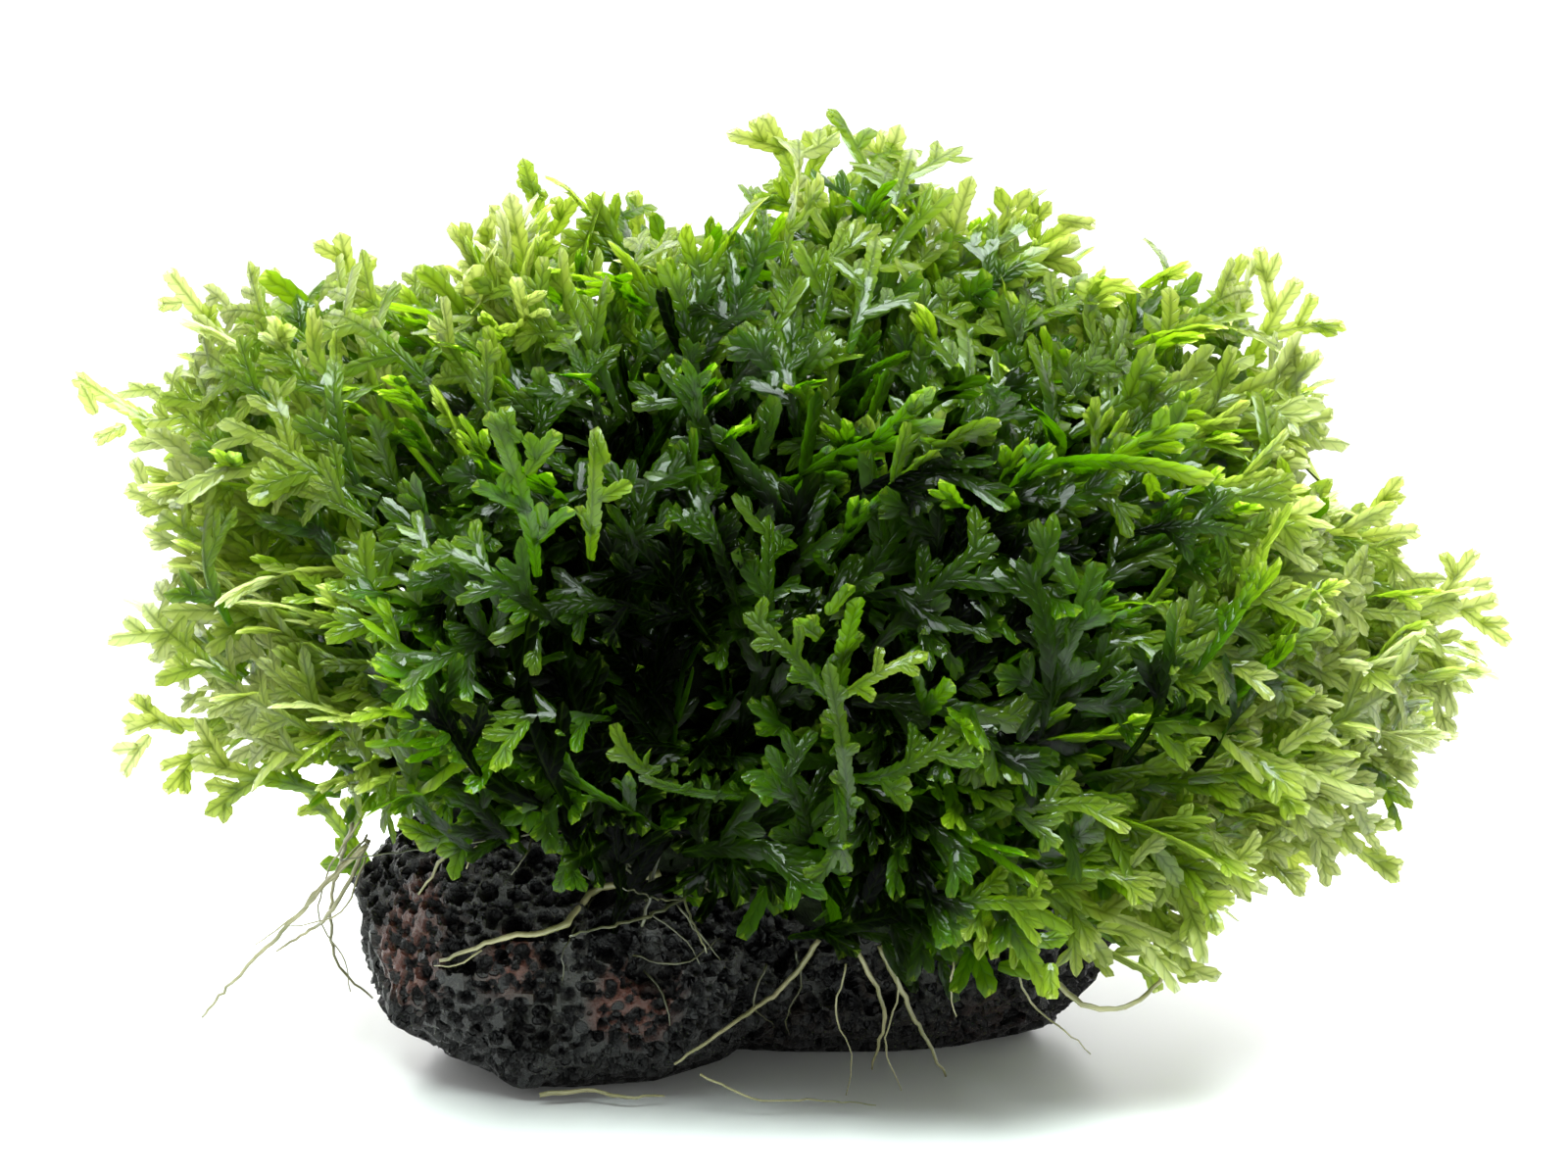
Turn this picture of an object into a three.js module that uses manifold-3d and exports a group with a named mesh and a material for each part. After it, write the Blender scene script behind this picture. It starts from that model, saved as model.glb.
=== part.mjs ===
// Coral moss grown on a piece of lava rock: flat, forked, leafy fronds on a porous dark stone.
// Millimetres, +Z up, -Y towards the viewer. The origin is the middle of the stone's flat underside.
import * as THREE from "three";
import { mergeVertices } from "three/addons/utils/BufferGeometryUtils.js";
import Module from "manifold-3d";

const wasm = await Module();
wasm.setup();

// Driving dimensions
const GAP = 0.35; // left between pieces that touch
const CORE = new THREE.Vector3(0, 1, 9); // inside the stone, where all the shoots point away from

const STONE = {
  lobes: [
    { centre: [-11, -4, 8.4], radii: [13.6, 11.8, 9.7] },
    { centre: [9.5, 5, 8], radii: [15, 13.5, 9.2] },
    { centre: [-2.5, 3.5, 8.4], radii: [15, 12.5, 9.7] },
  ],
  creases: 9, // sharpness of the creases where two lobes meet
  lumps: 0.05, // share of the stone's radius
  detail: 5, // splits of the icosahedron's edges
};
// Pores from the smallest to the largest radius; the round ones have more faces. Their middles are
// sunk by a share of their radius, between two heights of direction, and clear the flat underside.
const PORES = {
  count: 46,
  smallest: 0.9,
  largest: 2.4,
  round: 1.5,
  sunk: 0.2,
  lowest: -0.66,
  highest: 0.4,
  offUnderside: 0.8,
};

// The moss as a whole: a broad dome, squarer than an ellipsoid when seen from the front.
const DOME = { centre: [2.6, 1, 25.5], radii: [37.4, 32.5, 27.2], squareness: 3 };
// The lowest elevation at which moss grows, by direction round the stone; -90 faces the viewer.
const SKIRT = [
  [-180, 15], [-150, 15], [-120, 18], [-95, 17], [-70, 5], [-45, -2],
  [-15, 1], [20, 3], [60, 2], [100, 4], [140, 8], [180, 15],
];
// The dark opening at the front, where the stone's crest and old stems show between the tufts.
const OPENING = { azimuth: -80, elevation: 40, width: 16, depth: 0.5 };
// Each tuft: name, azimuth and elevation of its middle, and its reach beside the dome's.
const TUFTS = [
  ["tuft_crown", -60, 82, 1.0],
  ["tuft_upper_left", 172, 42, 1.07],
  ["tuft_lower_left", -165, 20, 0.96],
  ["tuft_front_left", -122, 32, 0.97],
  ["tuft_front_upper", -82, 54, 0.97],
  ["tuft_front_right", -48, 10, 0.9],
  ["tuft_right", -12, 26, 0.99],
  ["tuft_back_right", 42, 30, 0.99],
  ["tuft_back", 95, 32, 1.0],
  ["tuft_back_left", 138, 26, 0.98],
];
// The close growth inside a tuft, as shares of the dome's reach, and the valleys between tufts.
// Under the skirt the growth's surface is hidden inside the stone.
const THICKET = { detail: 7, tips: 0.4, low: 0.84, high: 0.99, valley: 0.12, valleyWidth: 8, hidden: 4 };
// The fronds that stand out of a tuft, from and to shares of the dome's reach. They keep some degrees
// off the skirt and the tufts' edges, and a distance off the sprigs and the free roots.
const FRONDS = {
  tried: 78,
  lowest: -0.05,
  highest: 0.985,
  from: 0.76,
  shortest: 1.02,
  longest: 1.1,
  bow: 1.2,
  roll: 60,
  spread: 3.0,
  offSkirt: 4,
  offEdge: 7,
  offOpening: 0.3,
  apart: 4.2,
};

const BLADE = {
  thickness: 0.6,
  foot: 0.5, // half the width where the shoot begins
  ribbon: 0.9, // half the width of a shoot's own blade
  lobe: 0.8, // half the width of a side lobe
  lean: 0.7, // how far forward a lobe leans for each mm that it reaches out
  outer: [-0.5, 1.3], // where a lobe's outer edge begins and ends, in half widths
  slant: 0.4, // how much further in that edge ends
  pitch: 2.9, // from one side lobe to the next, on alternate sides
  first: 0.35, // pitches before the first side lobe
  bare: 1.8, // the shoot's end, which has no side lobes
  fork: [[1.3, -0.4], [0.3, -1.3], [-0.9, 0]], // the notched tip, from its far end
};
// Each sprig that stands out of the tufts: name, base, tip, how far its middle bows upward,
// the roll of its flat side away from facing the viewer in degrees, and the spread of its side lobes.
const SPRIGS = [
  ["sprig_top_left", [5.6, 0, 46.5], [2.6, 1, 59.6], -0.5, 10, 4.0],
  ["sprig_top_middle", [6.9, 3, 46.5], [9.8, 4, 58.1], 0.5, -15, 3.4],
  ["sprig_top_right", [11, -3, 45], [12.8, -3, 56], 0.3, 20, 3.2],
  ["sprig_shoulder_right", [14.7, 4, 46.5], [21.5, 3, 52.7], 1.6, 0, 2.8],
  ["sprig_upper_right_short", [26.7, -2, 38], [26, -2, 48.9], 0.4, 20, 2.4],
  ["sprig_upper_right", [29.8, 5, 38.5], [32.2, 6, 49.7], -0.3, -10, 4.2],
  ["sprig_right_high", [27.9, -4, 37], [35.3, -4, 44.6], 0.8, 15, 3.2],
  ["sprig_right_middle", [31, 5, 29], [42.7, 4, 32.8], 1.0, -20, 3.4],
  ["sprig_right_long", [33, 0, 22.5], [46.7, -1, 29.9], 1.2, 5, 4.4],
  ["sprig_right_low", [33, 6, 19.7], [45.6, 5, 19.9], 1.2, -12, 4.0],
  ["sprig_right_drooping", [31, -3, 17.1], [40.9, -4, 12.2], 1.8, 10, 3.2],
  ["sprig_right_hanging", [34.2, 6, 16], [34.9, 5, 6.8], 0.2, 25, 2.4],
  ["sprig_skirt_outer", [23.4, -15.5, 17.5], [29.9, -18, 12], 1.4, 0, 3.4],
  ["sprig_skirt_low", [18.9, -13, 11], [27.4, -15, 7.1], 1.2, 35, 2.2],
  ["sprig_skirt_middle", [15.7, -20, 16], [16.9, -23.5, 10.6], 0.4, -20, 2.6],
  ["sprig_skirt_inner", [12.6, -21.5, 18.5], [9.4, -25.5, 12.4], 0.8, 15, 2.6],
  ["sprig_left_long", [-30, 2, 36.4], [-42.7, 1, 41.4], -0.8, 70, 2.0],
  ["sprig_upper_left_thin", [-28, 0, 40.4], [-36.1, -1, 49.1], 0.6, 50, 2.2],
  ["sprig_upper_left", [-25, 3, 40.6], [-24.3, 3, 51.4], 0.3, 30, 2.4],
  ["sprig_top_far_left", [-12.7, -2, 44], [-14.5, -2, 54.4], 0.4, -15, 2.8],
  ["sprig_back_top_left", [-11.5, 12, 44], [-13.5, 13, 55.5], 0.4, 5, 2.6],
  ["sprig_back_top", [-6.1, 11, 45], [-8.2, 12, 53.3], 0.3, 10, 2.2],
  ["sprig_left_middle", [-28.7, -3, 34], [-38.4, -4, 35.9], 0.8, 10, 3.0],
  ["sprig_left_feathery", [-27, 5, 25.1], [-38.4, 6, 22.6], 1.0, -10, 3.2],
  ["sprig_left_lowest", [-25, 2, 19], [-39.6, 2, 19.3], 1.2, -8, 4.0],
  ["sprig_left_drooping", [-24, -6, 20.3], [-34, -7, 17], 1.4, 12, 3.2],
  ["sprig_left_hanging", [-26.9, 7, 17.5], [-28.3, 8, 10.2], 0.2, 20, 2.6],
  ["sprig_left_over_stone", [-17.2, -16, 22], [-18.4, -20, 14.6], 0.6, 15, 3.0],
  ["sprig_front_over_stone", [-8.6, -20, 22.6], [-9, -24.4, 15.4], 0.8, -8, 3.0],
  ["sprig_front_upright", [5.2, -14.5, 21.4], [4.7, -23, 33.4], 0.8, 12, 3.6],
  ["sprig_front_branch", [7.4, -15.5, 21.8], [12.6, -25, 27.6], 1.2, -18, 3.2],
  ["sprig_front_hanging", [6, -16, 20.5], [3.1, -23, 17.5], 1.0, 15, 2.6],
  ["sprig_back_right_low", [24, 21, 16.5], [33, 28, 13.6], 1.5, 30, 3.4],
  ["sprig_back_right_high", [19, 21, 36], [26.5, 29.5, 41.5], 0.8, -20, 3.4],
  ["sprig_back_low", [4, 28, 17.5], [5.5, 39, 15], 1.6, 10, 3.4],
  ["sprig_back_high", [2, 25, 37], [0.5, 33, 45.5], 0.8, 0, 3.4],
  ["sprig_back_left_low", [-20, 22, 18.5], [-27.5, 30.5, 15.5], 1.5, -25, 3.2],
  ["sprig_back_left_high", [-18, 20, 35.5], [-26, 27, 41.5], 0.8, 15, 3.2],
];

// Each root: name, thickness, and the points that it passes. A point with no depth lies on the stone's front.
const ROOTS = [
  ["root_long_left", 0.42, [[-23.3, -6, 14.6], [-26.1, -5.6, 11.9], [-29, -4.4, 8.5], [-32, -2.6, 5.2], [-34.8, 0, 1.6]]],
  ["root_left_inner", 0.4, [[-23.6, -2.5, 14], [-25.7, -2, 9.8], [-27.5, 0, 7.6], [-30.2, 2, 5.4]]],
  ["root_left_curling", 0.36, [[-25.4, 4, 13.4], [-27, 5.5, 8.2], [-26.9, 6, 3.6], [-24.6, 6.3, 0.9]]],
  ["root_across_stone", 0.62, [[-5, 14.6], [-7.4, 13.9], [-9, 13.4], [-10.9, 12], [-14.5, 11.2], [-18.2, 9.5]]],
  ["root_stone_edge", 0.36, [[-17.2, 15.6], [-18.3, 14.9], [-18.9, 13.8], [-19.8, 12.5]]],
  ["root_front_long", 0.46, [[4.6, 9.4], [2.4, 6.4], [-1.6, 4.4], [-4.2, 2.6]]],
  ["root_front_floor", 0.4, [[-12.4, -12.6, 0.65], [-9.6, -12.3, 0.85], [-7.1, -13, 0.65], [-4.8, -12.6, 0.6]]],
  ["root_front_right", 0.46, [[8.3, -10.2, 9.4], [10.3, -9.8, 5], [12.4, -9.8, 0.9]]],
  ["root_front_middle", 0.4, [[6.9, -10, 9], [8.6, -9.2, 5], [7.9, -8.4, 0.9]]],
  ["root_loop_right", 0.5, [[17.6, -16, 9.8], [20.1, -17, 7.9], [22.6, -17, 7.6], [24.8, -16, 9], [25.7, -15, 12]]],
];
const STRAND = { sides: 4, steps: 6 };

const degrees = THREE.MathUtils.degToRad;
const inDegrees = THREE.MathUtils.radToDeg;
const blend = THREE.MathUtils.lerp;
const vector = (p) => new THREE.Vector3(...p);
const GOLDEN_ANGLE = Math.PI * (3 - Math.sqrt(5));

// A repeatable number from 0 to 1 for the nth thing of its kind.
function chance(n, kind) {
  const wave = Math.sin(n * 12.9898 + kind * 78.233) * 43758.5453;
  return wave - Math.floor(wave);
}

function direction(azimuth, elevation) {
  const flat = Math.cos(degrees(elevation));
  return new THREE.Vector3(
    flat * Math.cos(degrees(azimuth)),
    flat * Math.sin(degrees(azimuth)),
    Math.sin(degrees(elevation)),
  );
}

// The nth of many directions spread evenly, from one height to another.
function spread(n, count, lowest, highest) {
  const height = blend(lowest, highest, (n + 0.5) / count);
  const flat = Math.sqrt(1 - height * height);
  return new THREE.Vector3(
    flat * Math.cos(n * GOLDEN_ANGLE),
    flat * Math.sin(n * GOLDEN_ANGLE),
    height,
  );
}

// A closed geometry as a solid that can be joined and cut.
function solidOf(geometry) {
  const bare = new THREE.BufferGeometry();
  bare.setAttribute("position", geometry.getAttribute("position"));
  if (geometry.index) bare.setIndex(geometry.index);
  const merged = mergeVertices(bare, 1e-3);
  return new wasm.Manifold(
    new wasm.Mesh({
      numProp: 3,
      vertProperties: new Float32Array(merged.attributes.position.array),
      triVerts: new Uint32Array(merged.index.array),
    }),
  );
}

// The largest single body of a solid, as a geometry.
function geometryOf(solid) {
  const largest = solid.decompose().reduce((a, b) => (a.volume() > b.volume() ? a : b));
  const { vertProperties, triVerts } = largest.getMesh();
  const geometry = new THREE.BufferGeometry();
  geometry.setAttribute("position", new THREE.BufferAttribute(vertProperties, 3));
  geometry.setIndex(new THREE.BufferAttribute(triVerts, 1));
  geometry.computeVertexNormals();
  return geometry;
}

// A closed surface round the core whose distance in each direction comes from reach(heading, index).
function shellOf(detail, reach) {
  const ball = mergeVertices(
    new THREE.IcosahedronGeometry(1, detail).deleteAttribute("normal").deleteAttribute("uv"),
    1e-5,
  );
  const corners = ball.getAttribute("position");
  for (let i = 0; i < corners.count; i++) {
    const heading = new THREE.Vector3().fromBufferAttribute(corners, i).normalize();
    const point = heading.clone().multiplyScalar(reach(heading, i)).add(CORE);
    corners.setXYZ(i, point.x, point.y, point.z);
  }
  return ball;
}

// How far an ellipsoid's far side is from the core in a direction.
function reachOf(ellipsoid, heading) {
  const scale = vector(ellipsoid.radii);
  const from = CORE.clone().sub(vector(ellipsoid.centre)).divide(scale);
  const along = heading.clone().divide(scale);
  const a = along.lengthSq();
  const b = from.dot(along);
  const inside = b * b - a * (from.lengthSq() - 1);
  return (-b + Math.sqrt(Math.max(inside, 0))) / a;
}

function stoneReach(heading) {
  const sum = STONE.lobes.reduce((s, lobe) => s + reachOf(lobe, heading) ** STONE.creases, 0);
  const { x, y, z } = heading;
  const lumps =
    Math.sin(7.1 * x + 2.3) * Math.sin(6.3 * y + 1.1) +
    0.8 * Math.sin(11.7 * z - 4.2 * x) * Math.sin(9.4 * y + 3.6 * z) +
    0.5 * Math.sin(19.3 * x + 5.1 * z) * Math.sin(17.7 * y);
  return sum ** (1 / STONE.creases) * (1 + STONE.lumps * lumps);
}

// The stone's outer form with no pores, grown by a margin where other pieces are to clear it.
function stoneForm(margin = 0) {
  const form = solidOf(shellOf(STONE.detail, (heading) => stoneReach(heading) + margin));
  return form.trimByPlane([0, 0, 1], -margin);
}

function lavaStone() {
  let stone = stoneForm();
  for (let i = 0; i < PORES.count; i++) {
    const heading = spread(i, PORES.count, PORES.lowest, PORES.highest);
    const radius = blend(PORES.smallest, PORES.largest, chance(i, 1) ** 2);
    const mouth = heading.clone().multiplyScalar(stoneReach(heading) - PORES.sunk * radius).add(CORE);
    if (mouth.z < radius + PORES.offUnderside) continue;
    const shape = radius > PORES.round ? THREE.IcosahedronGeometry : THREE.OctahedronGeometry;
    const bubble = new shape(radius, 0).rotateZ(i).rotateX(i);
    stone = stone.subtract(solidOf(bubble.translate(mouth.x, mouth.y, mouth.z)));
  }
  return stone;
}

// How far the dome's surface is from the core in a direction, found by halving the search.
function domeReach(heading) {
  const { centre, radii, squareness } = DOME;
  let [near, far] = [0, 2 * radii[0]];
  for (let i = 0; i < 24; i++) {
    const middle = (near + far) / 2;
    const point = heading.clone().multiplyScalar(middle).add(CORE).sub(vector(centre));
    const [x, y, z] = point.toArray().map((value, axis) => Math.abs(value / radii[axis]));
    const front = (x ** squareness + z ** squareness) ** (2 / squareness);
    if (front + y * y > 1) far = middle;
    else near = middle;
  }
  return near;
}

function skirtElevation(azimuth) {
  const next = Math.max(1, SKIRT.findIndex(([edge]) => edge >= azimuth));
  const [highEdge, high] = SKIRT[next];
  const [lowEdge, low] = SKIRT[next - 1];
  return blend(low, high, (azimuth - lowEdge) / (highEdge - lowEdge));
}

const tuftAxes = TUFTS.map(([, azimuth, elevation]) => direction(azimuth, elevation));

// What the moss is like in a direction: its tuft, how near that tuft's edge is, and its full reach.
function mossToward(heading) {
  const azimuth = inDegrees(Math.atan2(heading.y, heading.x));
  const angles = tuftAxes
    .map((axis, tuft) => [inDegrees(heading.angleTo(axis)), tuft])
    .sort((a, b) => a[0] - b[0]);
  const offOpening = inDegrees(heading.angleTo(direction(OPENING.azimuth, OPENING.elevation)));
  const opening = OPENING.depth * Math.exp(-((offOpening / OPENING.width) ** 4));
  const tuft = angles[0][1];
  return {
    tuft,
    aboveSkirt: inDegrees(Math.asin(heading.z)) - skirtElevation(azimuth),
    fromEdge: angles[1][0] - angles[0][0],
    opening,
    reach: domeReach(heading) * TUFTS[tuft][3] * (1 - opening),
  };
}

// The close growth from which the fronds stand out, grown by a margin where other pieces clear it.
function thicket(margin = 0) {
  const shell = shellOf(THICKET.detail, (heading, index) => {
    const moss = mossToward(heading);
    if (moss.aboveSkirt < 0) return THICKET.hidden;
    const valley = THICKET.valley * Math.exp(-((moss.fromEdge / THICKET.valleyWidth) ** 2));
    const high = chance(index, 2) < THICKET.tips;
    return moss.reach * (high ? THICKET.high : THICKET.low) * (1 - valley) + margin;
  });
  return solidOf(shell);
}

// A frond's flat outline: a ribbon with side lobes on alternate sides that lean forward, and a forked end.
function frondOutline(length, reach) {
  const { foot, ribbon, lobe, lean, outer, slant, pitch } = BLADE;
  const lobes = Math.round(length / pitch);
  const sides = { right: [], left: [] };
  for (let k = 0; k < lobes; k++) {
    const start = pitch * (k + BLADE.first);
    if (start + lobe > length - BLADE.bare) break;
    const hand = k % 2 ? -1 : 1;
    const out = Math.max(2 * ribbon, reach * Math.sin((Math.PI * (k + 1)) / (lobes + 1.2)));
    const lobePoints = [
      [ribbon, start - lobe],
      [out, start + outer[0] * lobe + lean * out],
      [out - slant, start + outer[1] * lobe + lean * out],
      [ribbon, start + lobe],
    ].map(([u, v]) => [hand * u, v]);
    (hand > 0 ? sides.right : sides.left).push(...lobePoints);
  }
  const fork = BLADE.fork.map(([u, v]) => [u, length + v]);
  const points = [[-foot, 0], [foot, 0], ...sides.right, ...fork, ...sides.left.reverse()];
  return new THREE.Shape(points.map(([u, v]) => new THREE.Vector2(u, v)));
}

// The bowed line that a frond follows from its base to its tip.
function frondLine(base, tip, bow) {
  const middle = base.clone().add(tip).multiplyScalar(0.5).add(new THREE.Vector3(0, 0, 2 * bow));
  return new THREE.QuadraticBezierCurve3(base, middle, tip);
}

// A frond along its line, its flat side turned by roll from facing the viewer.
function frond(base, tip, bow, roll, reach) {
  const length = base.distanceTo(tip);
  const flat = new THREE.ExtrudeGeometry(frondOutline(length, reach), {
    depth: BLADE.thickness,
    bevelEnabled: false,
  }).translate(0, 0, -BLADE.thickness / 2);
  const along = tip.clone().sub(base).normalize();
  const viewer = new THREE.Vector3(0, -1, 0);
  const facing = viewer.sub(along.clone().multiplyScalar(viewer.dot(along))).normalize();
  facing.applyAxisAngle(along, degrees(roll));
  const across = along.clone().cross(facing).normalize();
  const line = frondLine(base, tip, bow);
  const corners = flat.getAttribute("position");
  for (let i = 0; i < corners.count; i++) {
    const onLine = Math.min(corners.getY(i), length);
    const point = line
      .getPoint(onLine / length)
      .addScaledVector(along, corners.getY(i) - onLine)
      .addScaledVector(across, corners.getX(i))
      .addScaledVector(facing, corners.getZ(i));
    corners.setXYZ(i, point.x, point.y, point.z);
  }
  return solidOf(flat);
}

// Places that the tufts' own fronds keep away from: along every sprig and every free root.
const kept = [
  ...SPRIGS.flatMap(([, base, tip, bow]) => frondLine(vector(base), vector(tip), bow).getPoints(6)),
  ...ROOTS.flatMap(([, , stops]) => stops.filter((stop) => stop.length === 3).map(vector)),
];

// The fronds that stand out of the tufts, each with the number of the tuft that carries it.
function tuftFronds() {
  const fronds = [];
  for (let i = 0; i < FRONDS.tried; i++) {
    const heading = spread(i, FRONDS.tried, FRONDS.lowest, FRONDS.highest);
    const moss = mossToward(heading);
    if (moss.aboveSkirt < FRONDS.offSkirt || moss.fromEdge < FRONDS.offEdge) continue;
    if (moss.opening > FRONDS.offOpening) continue;
    const tipShare = blend(FRONDS.shortest, FRONDS.longest, chance(i, 4));
    const base = heading.clone().multiplyScalar(moss.reach * FRONDS.from).add(CORE);
    const tip = heading.clone().multiplyScalar(moss.reach * tipShare).add(CORE);
    const bow = FRONDS.bow * chance(i, 5) * (1 - heading.z);
    const standing = frondLine(base, tip, bow).getPoints(6).slice(3);
    if (standing.some((point) => kept.some((place) => place.distanceTo(point) < FRONDS.apart))) continue;
    const roll = blend(-FRONDS.roll, FRONDS.roll, chance(i, 6));
    fronds.push({ tuft: moss.tuft, solid: frond(base, tip, bow, roll, FRONDS.spread) });
  }
  return fronds;
}

// One tuft: its share of the thicket and its own fronds, cut clear of its neighbours and the stone.
function tuft(own, growth, fronds, stone) {
  let piece = fronds
    .filter((one) => one.tuft === own)
    .reduce((whole, one) => whole.add(one.solid), growth);
  tuftAxes.forEach((axis, other) => {
    if (other === own) return;
    const normal = tuftAxes[own].clone().sub(axis).normalize();
    piece = piece.trimByPlane(normal.toArray(), normal.dot(CORE) + GAP / 2);
  });
  return piece.subtract(stone);
}

// Where a ray from the viewer's side meets the stone at a place seen from the front.
function onStoneFront(x, z, clearance) {
  const stone = new THREE.Mesh(shellOf(STONE.detail, stoneReach), new THREE.MeshBasicMaterial());
  const ray = new THREE.Raycaster(new THREE.Vector3(x, -60, z), new THREE.Vector3(0, 1, 0));
  const [hit] = ray.intersectObject(stone);
  return new THREE.Vector3(x, hit.point.y - clearance, z);
}

function root(thickness, stops) {
  const clearance = GAP + thickness;
  const points = stops.map((p) => (p.length === 2 ? onStoneFront(...p, clearance) : vector(p)));
  const angles = Array.from({ length: STRAND.sides }, (_, i) => (i / STRAND.sides) * 2 * Math.PI);
  const section = new THREE.Shape(
    angles.map((a) => new THREE.Vector2(Math.cos(a), Math.sin(a)).multiplyScalar(thickness / 2)),
  );
  return solidOf(
    new THREE.ExtrudeGeometry(section, {
      steps: STRAND.steps,
      extrudePath: new THREE.CatmullRomCurve3(points),
      bevelEnabled: false,
    }),
  );
}

const FINISHES = {
  stone: new THREE.MeshStandardMaterial({ color: 0x2a2727, roughness: 0.7, metalness: 0 }),
  moss: new THREE.MeshStandardMaterial({ color: 0x2f5a12, roughness: 0.25, metalness: 0 }),
  frond: new THREE.MeshStandardMaterial({ color: 0x86ac2c, roughness: 0.25, metalness: 0 }),
  root: new THREE.MeshStandardMaterial({ color: 0xb5b184, roughness: 0.45, metalness: 0 }),
};

const plant = new THREE.Group();
function place(name, solid, finish) {
  const mesh = new THREE.Mesh(geometryOf(solid), FINISHES[finish]);
  mesh.name = name;
  plant.add(mesh);
}

place("lava_stone", lavaStone(), "stone");

const growth = thicket();
const fronds = tuftFronds();
const stoneClear = stoneForm(GAP);
TUFTS.forEach(([name], i) => place(name, tuft(i, growth, fronds, stoneClear), "moss"));

let taken = thicket(GAP).add(stoneClear);
for (const [name, thickness, stops] of ROOTS) {
  place(name, root(thickness, stops).subtract(taken), "root");
  taken = taken.add(root(thickness + 2 * GAP, stops));
}
for (const [name, base, tip, bow, roll, reach] of SPRIGS)
  place(name, frond(vector(base), vector(tip), bow, roll, reach).subtract(taken), "frond");

export default plant;
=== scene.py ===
"""Coral moss on lava rock: leafy fronds, roots and the porous stone, dressed on the plain solids."""

import math
import random

import bmesh
import bpy
import numpy as np
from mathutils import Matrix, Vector, noise
from mathutils.bvhtree import BVHTree
from mathutils.kdtree import KDTree


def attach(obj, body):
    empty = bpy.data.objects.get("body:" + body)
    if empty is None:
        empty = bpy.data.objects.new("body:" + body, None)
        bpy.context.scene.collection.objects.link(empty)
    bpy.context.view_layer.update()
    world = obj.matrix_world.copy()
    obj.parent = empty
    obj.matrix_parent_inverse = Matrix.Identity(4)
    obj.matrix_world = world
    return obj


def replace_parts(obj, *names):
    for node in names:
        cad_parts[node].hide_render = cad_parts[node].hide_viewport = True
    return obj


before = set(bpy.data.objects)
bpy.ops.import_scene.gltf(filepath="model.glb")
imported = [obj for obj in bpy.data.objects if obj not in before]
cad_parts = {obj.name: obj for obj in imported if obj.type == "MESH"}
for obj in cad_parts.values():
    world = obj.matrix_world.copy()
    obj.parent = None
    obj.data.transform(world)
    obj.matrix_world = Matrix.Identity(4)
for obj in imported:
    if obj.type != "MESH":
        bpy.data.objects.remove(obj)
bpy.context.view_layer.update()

# Shapes are worked out in millimetres and set down in metres.
MM = 0.001
UP = np.array((0.0, 0.0, 1.0))
TOWARDS_VIEWER = np.array((0.0, -1.0, 0.0))
# The shoots point away from this place inside the stone.
CORE = np.array((0.0, 1.0, 9.0))
BODY = "root"
SEEDS = {"tufts": 7, "sprigs": 11, "pores": 3, "roots": 5}

# What the camera looks at, how far down in degrees, its lens and sensor, and the photograph's
# pixels to a millimetre.
CAMERA = {"target": (2.45, 0.0, 29.6), "elevation": 11, "lens": 85, "sensor": 36, "scale": 16.3}
PHOTO_WIDTH = 1600


# The camera stands where the photograph was taken from.
def set_up_camera():
    tilt = math.radians(CAMERA["elevation"])
    distance = CAMERA["lens"] / CAMERA["sensor"] * PHOTO_WIDTH / CAMERA["scale"]
    target = Vector(CAMERA["target"]) * MM
    away = Vector((0, -math.cos(tilt), math.sin(tilt))) * distance * MM
    data = bpy.data.cameras.new("camera")
    data.lens = CAMERA["lens"]
    data.sensor_width = CAMERA["sensor"]
    data.clip_start = 0.01
    camera = bpy.data.objects.new("camera", data)
    camera.location = target + away
    camera.rotation_euler = (-away).to_track_quat("-Z", "Y").to_euler()
    bpy.context.scene.collection.objects.link(camera)
    bpy.context.scene.camera = camera


class Wire:
    """A shader socket that stands in a Python expression; each operator adds one Math node."""

    def __init__(self, finish, socket):
        self.finish = finish
        self.socket = socket

    def math(self, operation, *values):
        sockets = dict(enumerate(values))
        return self.finish.node("ShaderNodeMath", {"operation": operation}, sockets)

    def __add__(self, other):
        return self.math("ADD", self, other)

    def __sub__(self, other):
        return self.math("SUBTRACT", self, other)

    def __rsub__(self, other):
        return self.math("SUBTRACT", other, self)

    def __mul__(self, other):
        return self.math("MULTIPLY", self, other)

    def __truediv__(self, other):
        return self.math("DIVIDE", self, other)

    def __pow__(self, other):
        return self.math("POWER", self, other)

    def __mod__(self, other):
        return self.math("FLOORED_MODULO", self, other)

    def __abs__(self):
        return self.math("ABSOLUTE", self)

    __radd__ = __add__
    __rmul__ = __mul__

    def sign(self):
        return self.math("SIGN", self)

    def or_more(self, other):
        return self.math("MAXIMUM", self, other)


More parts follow.
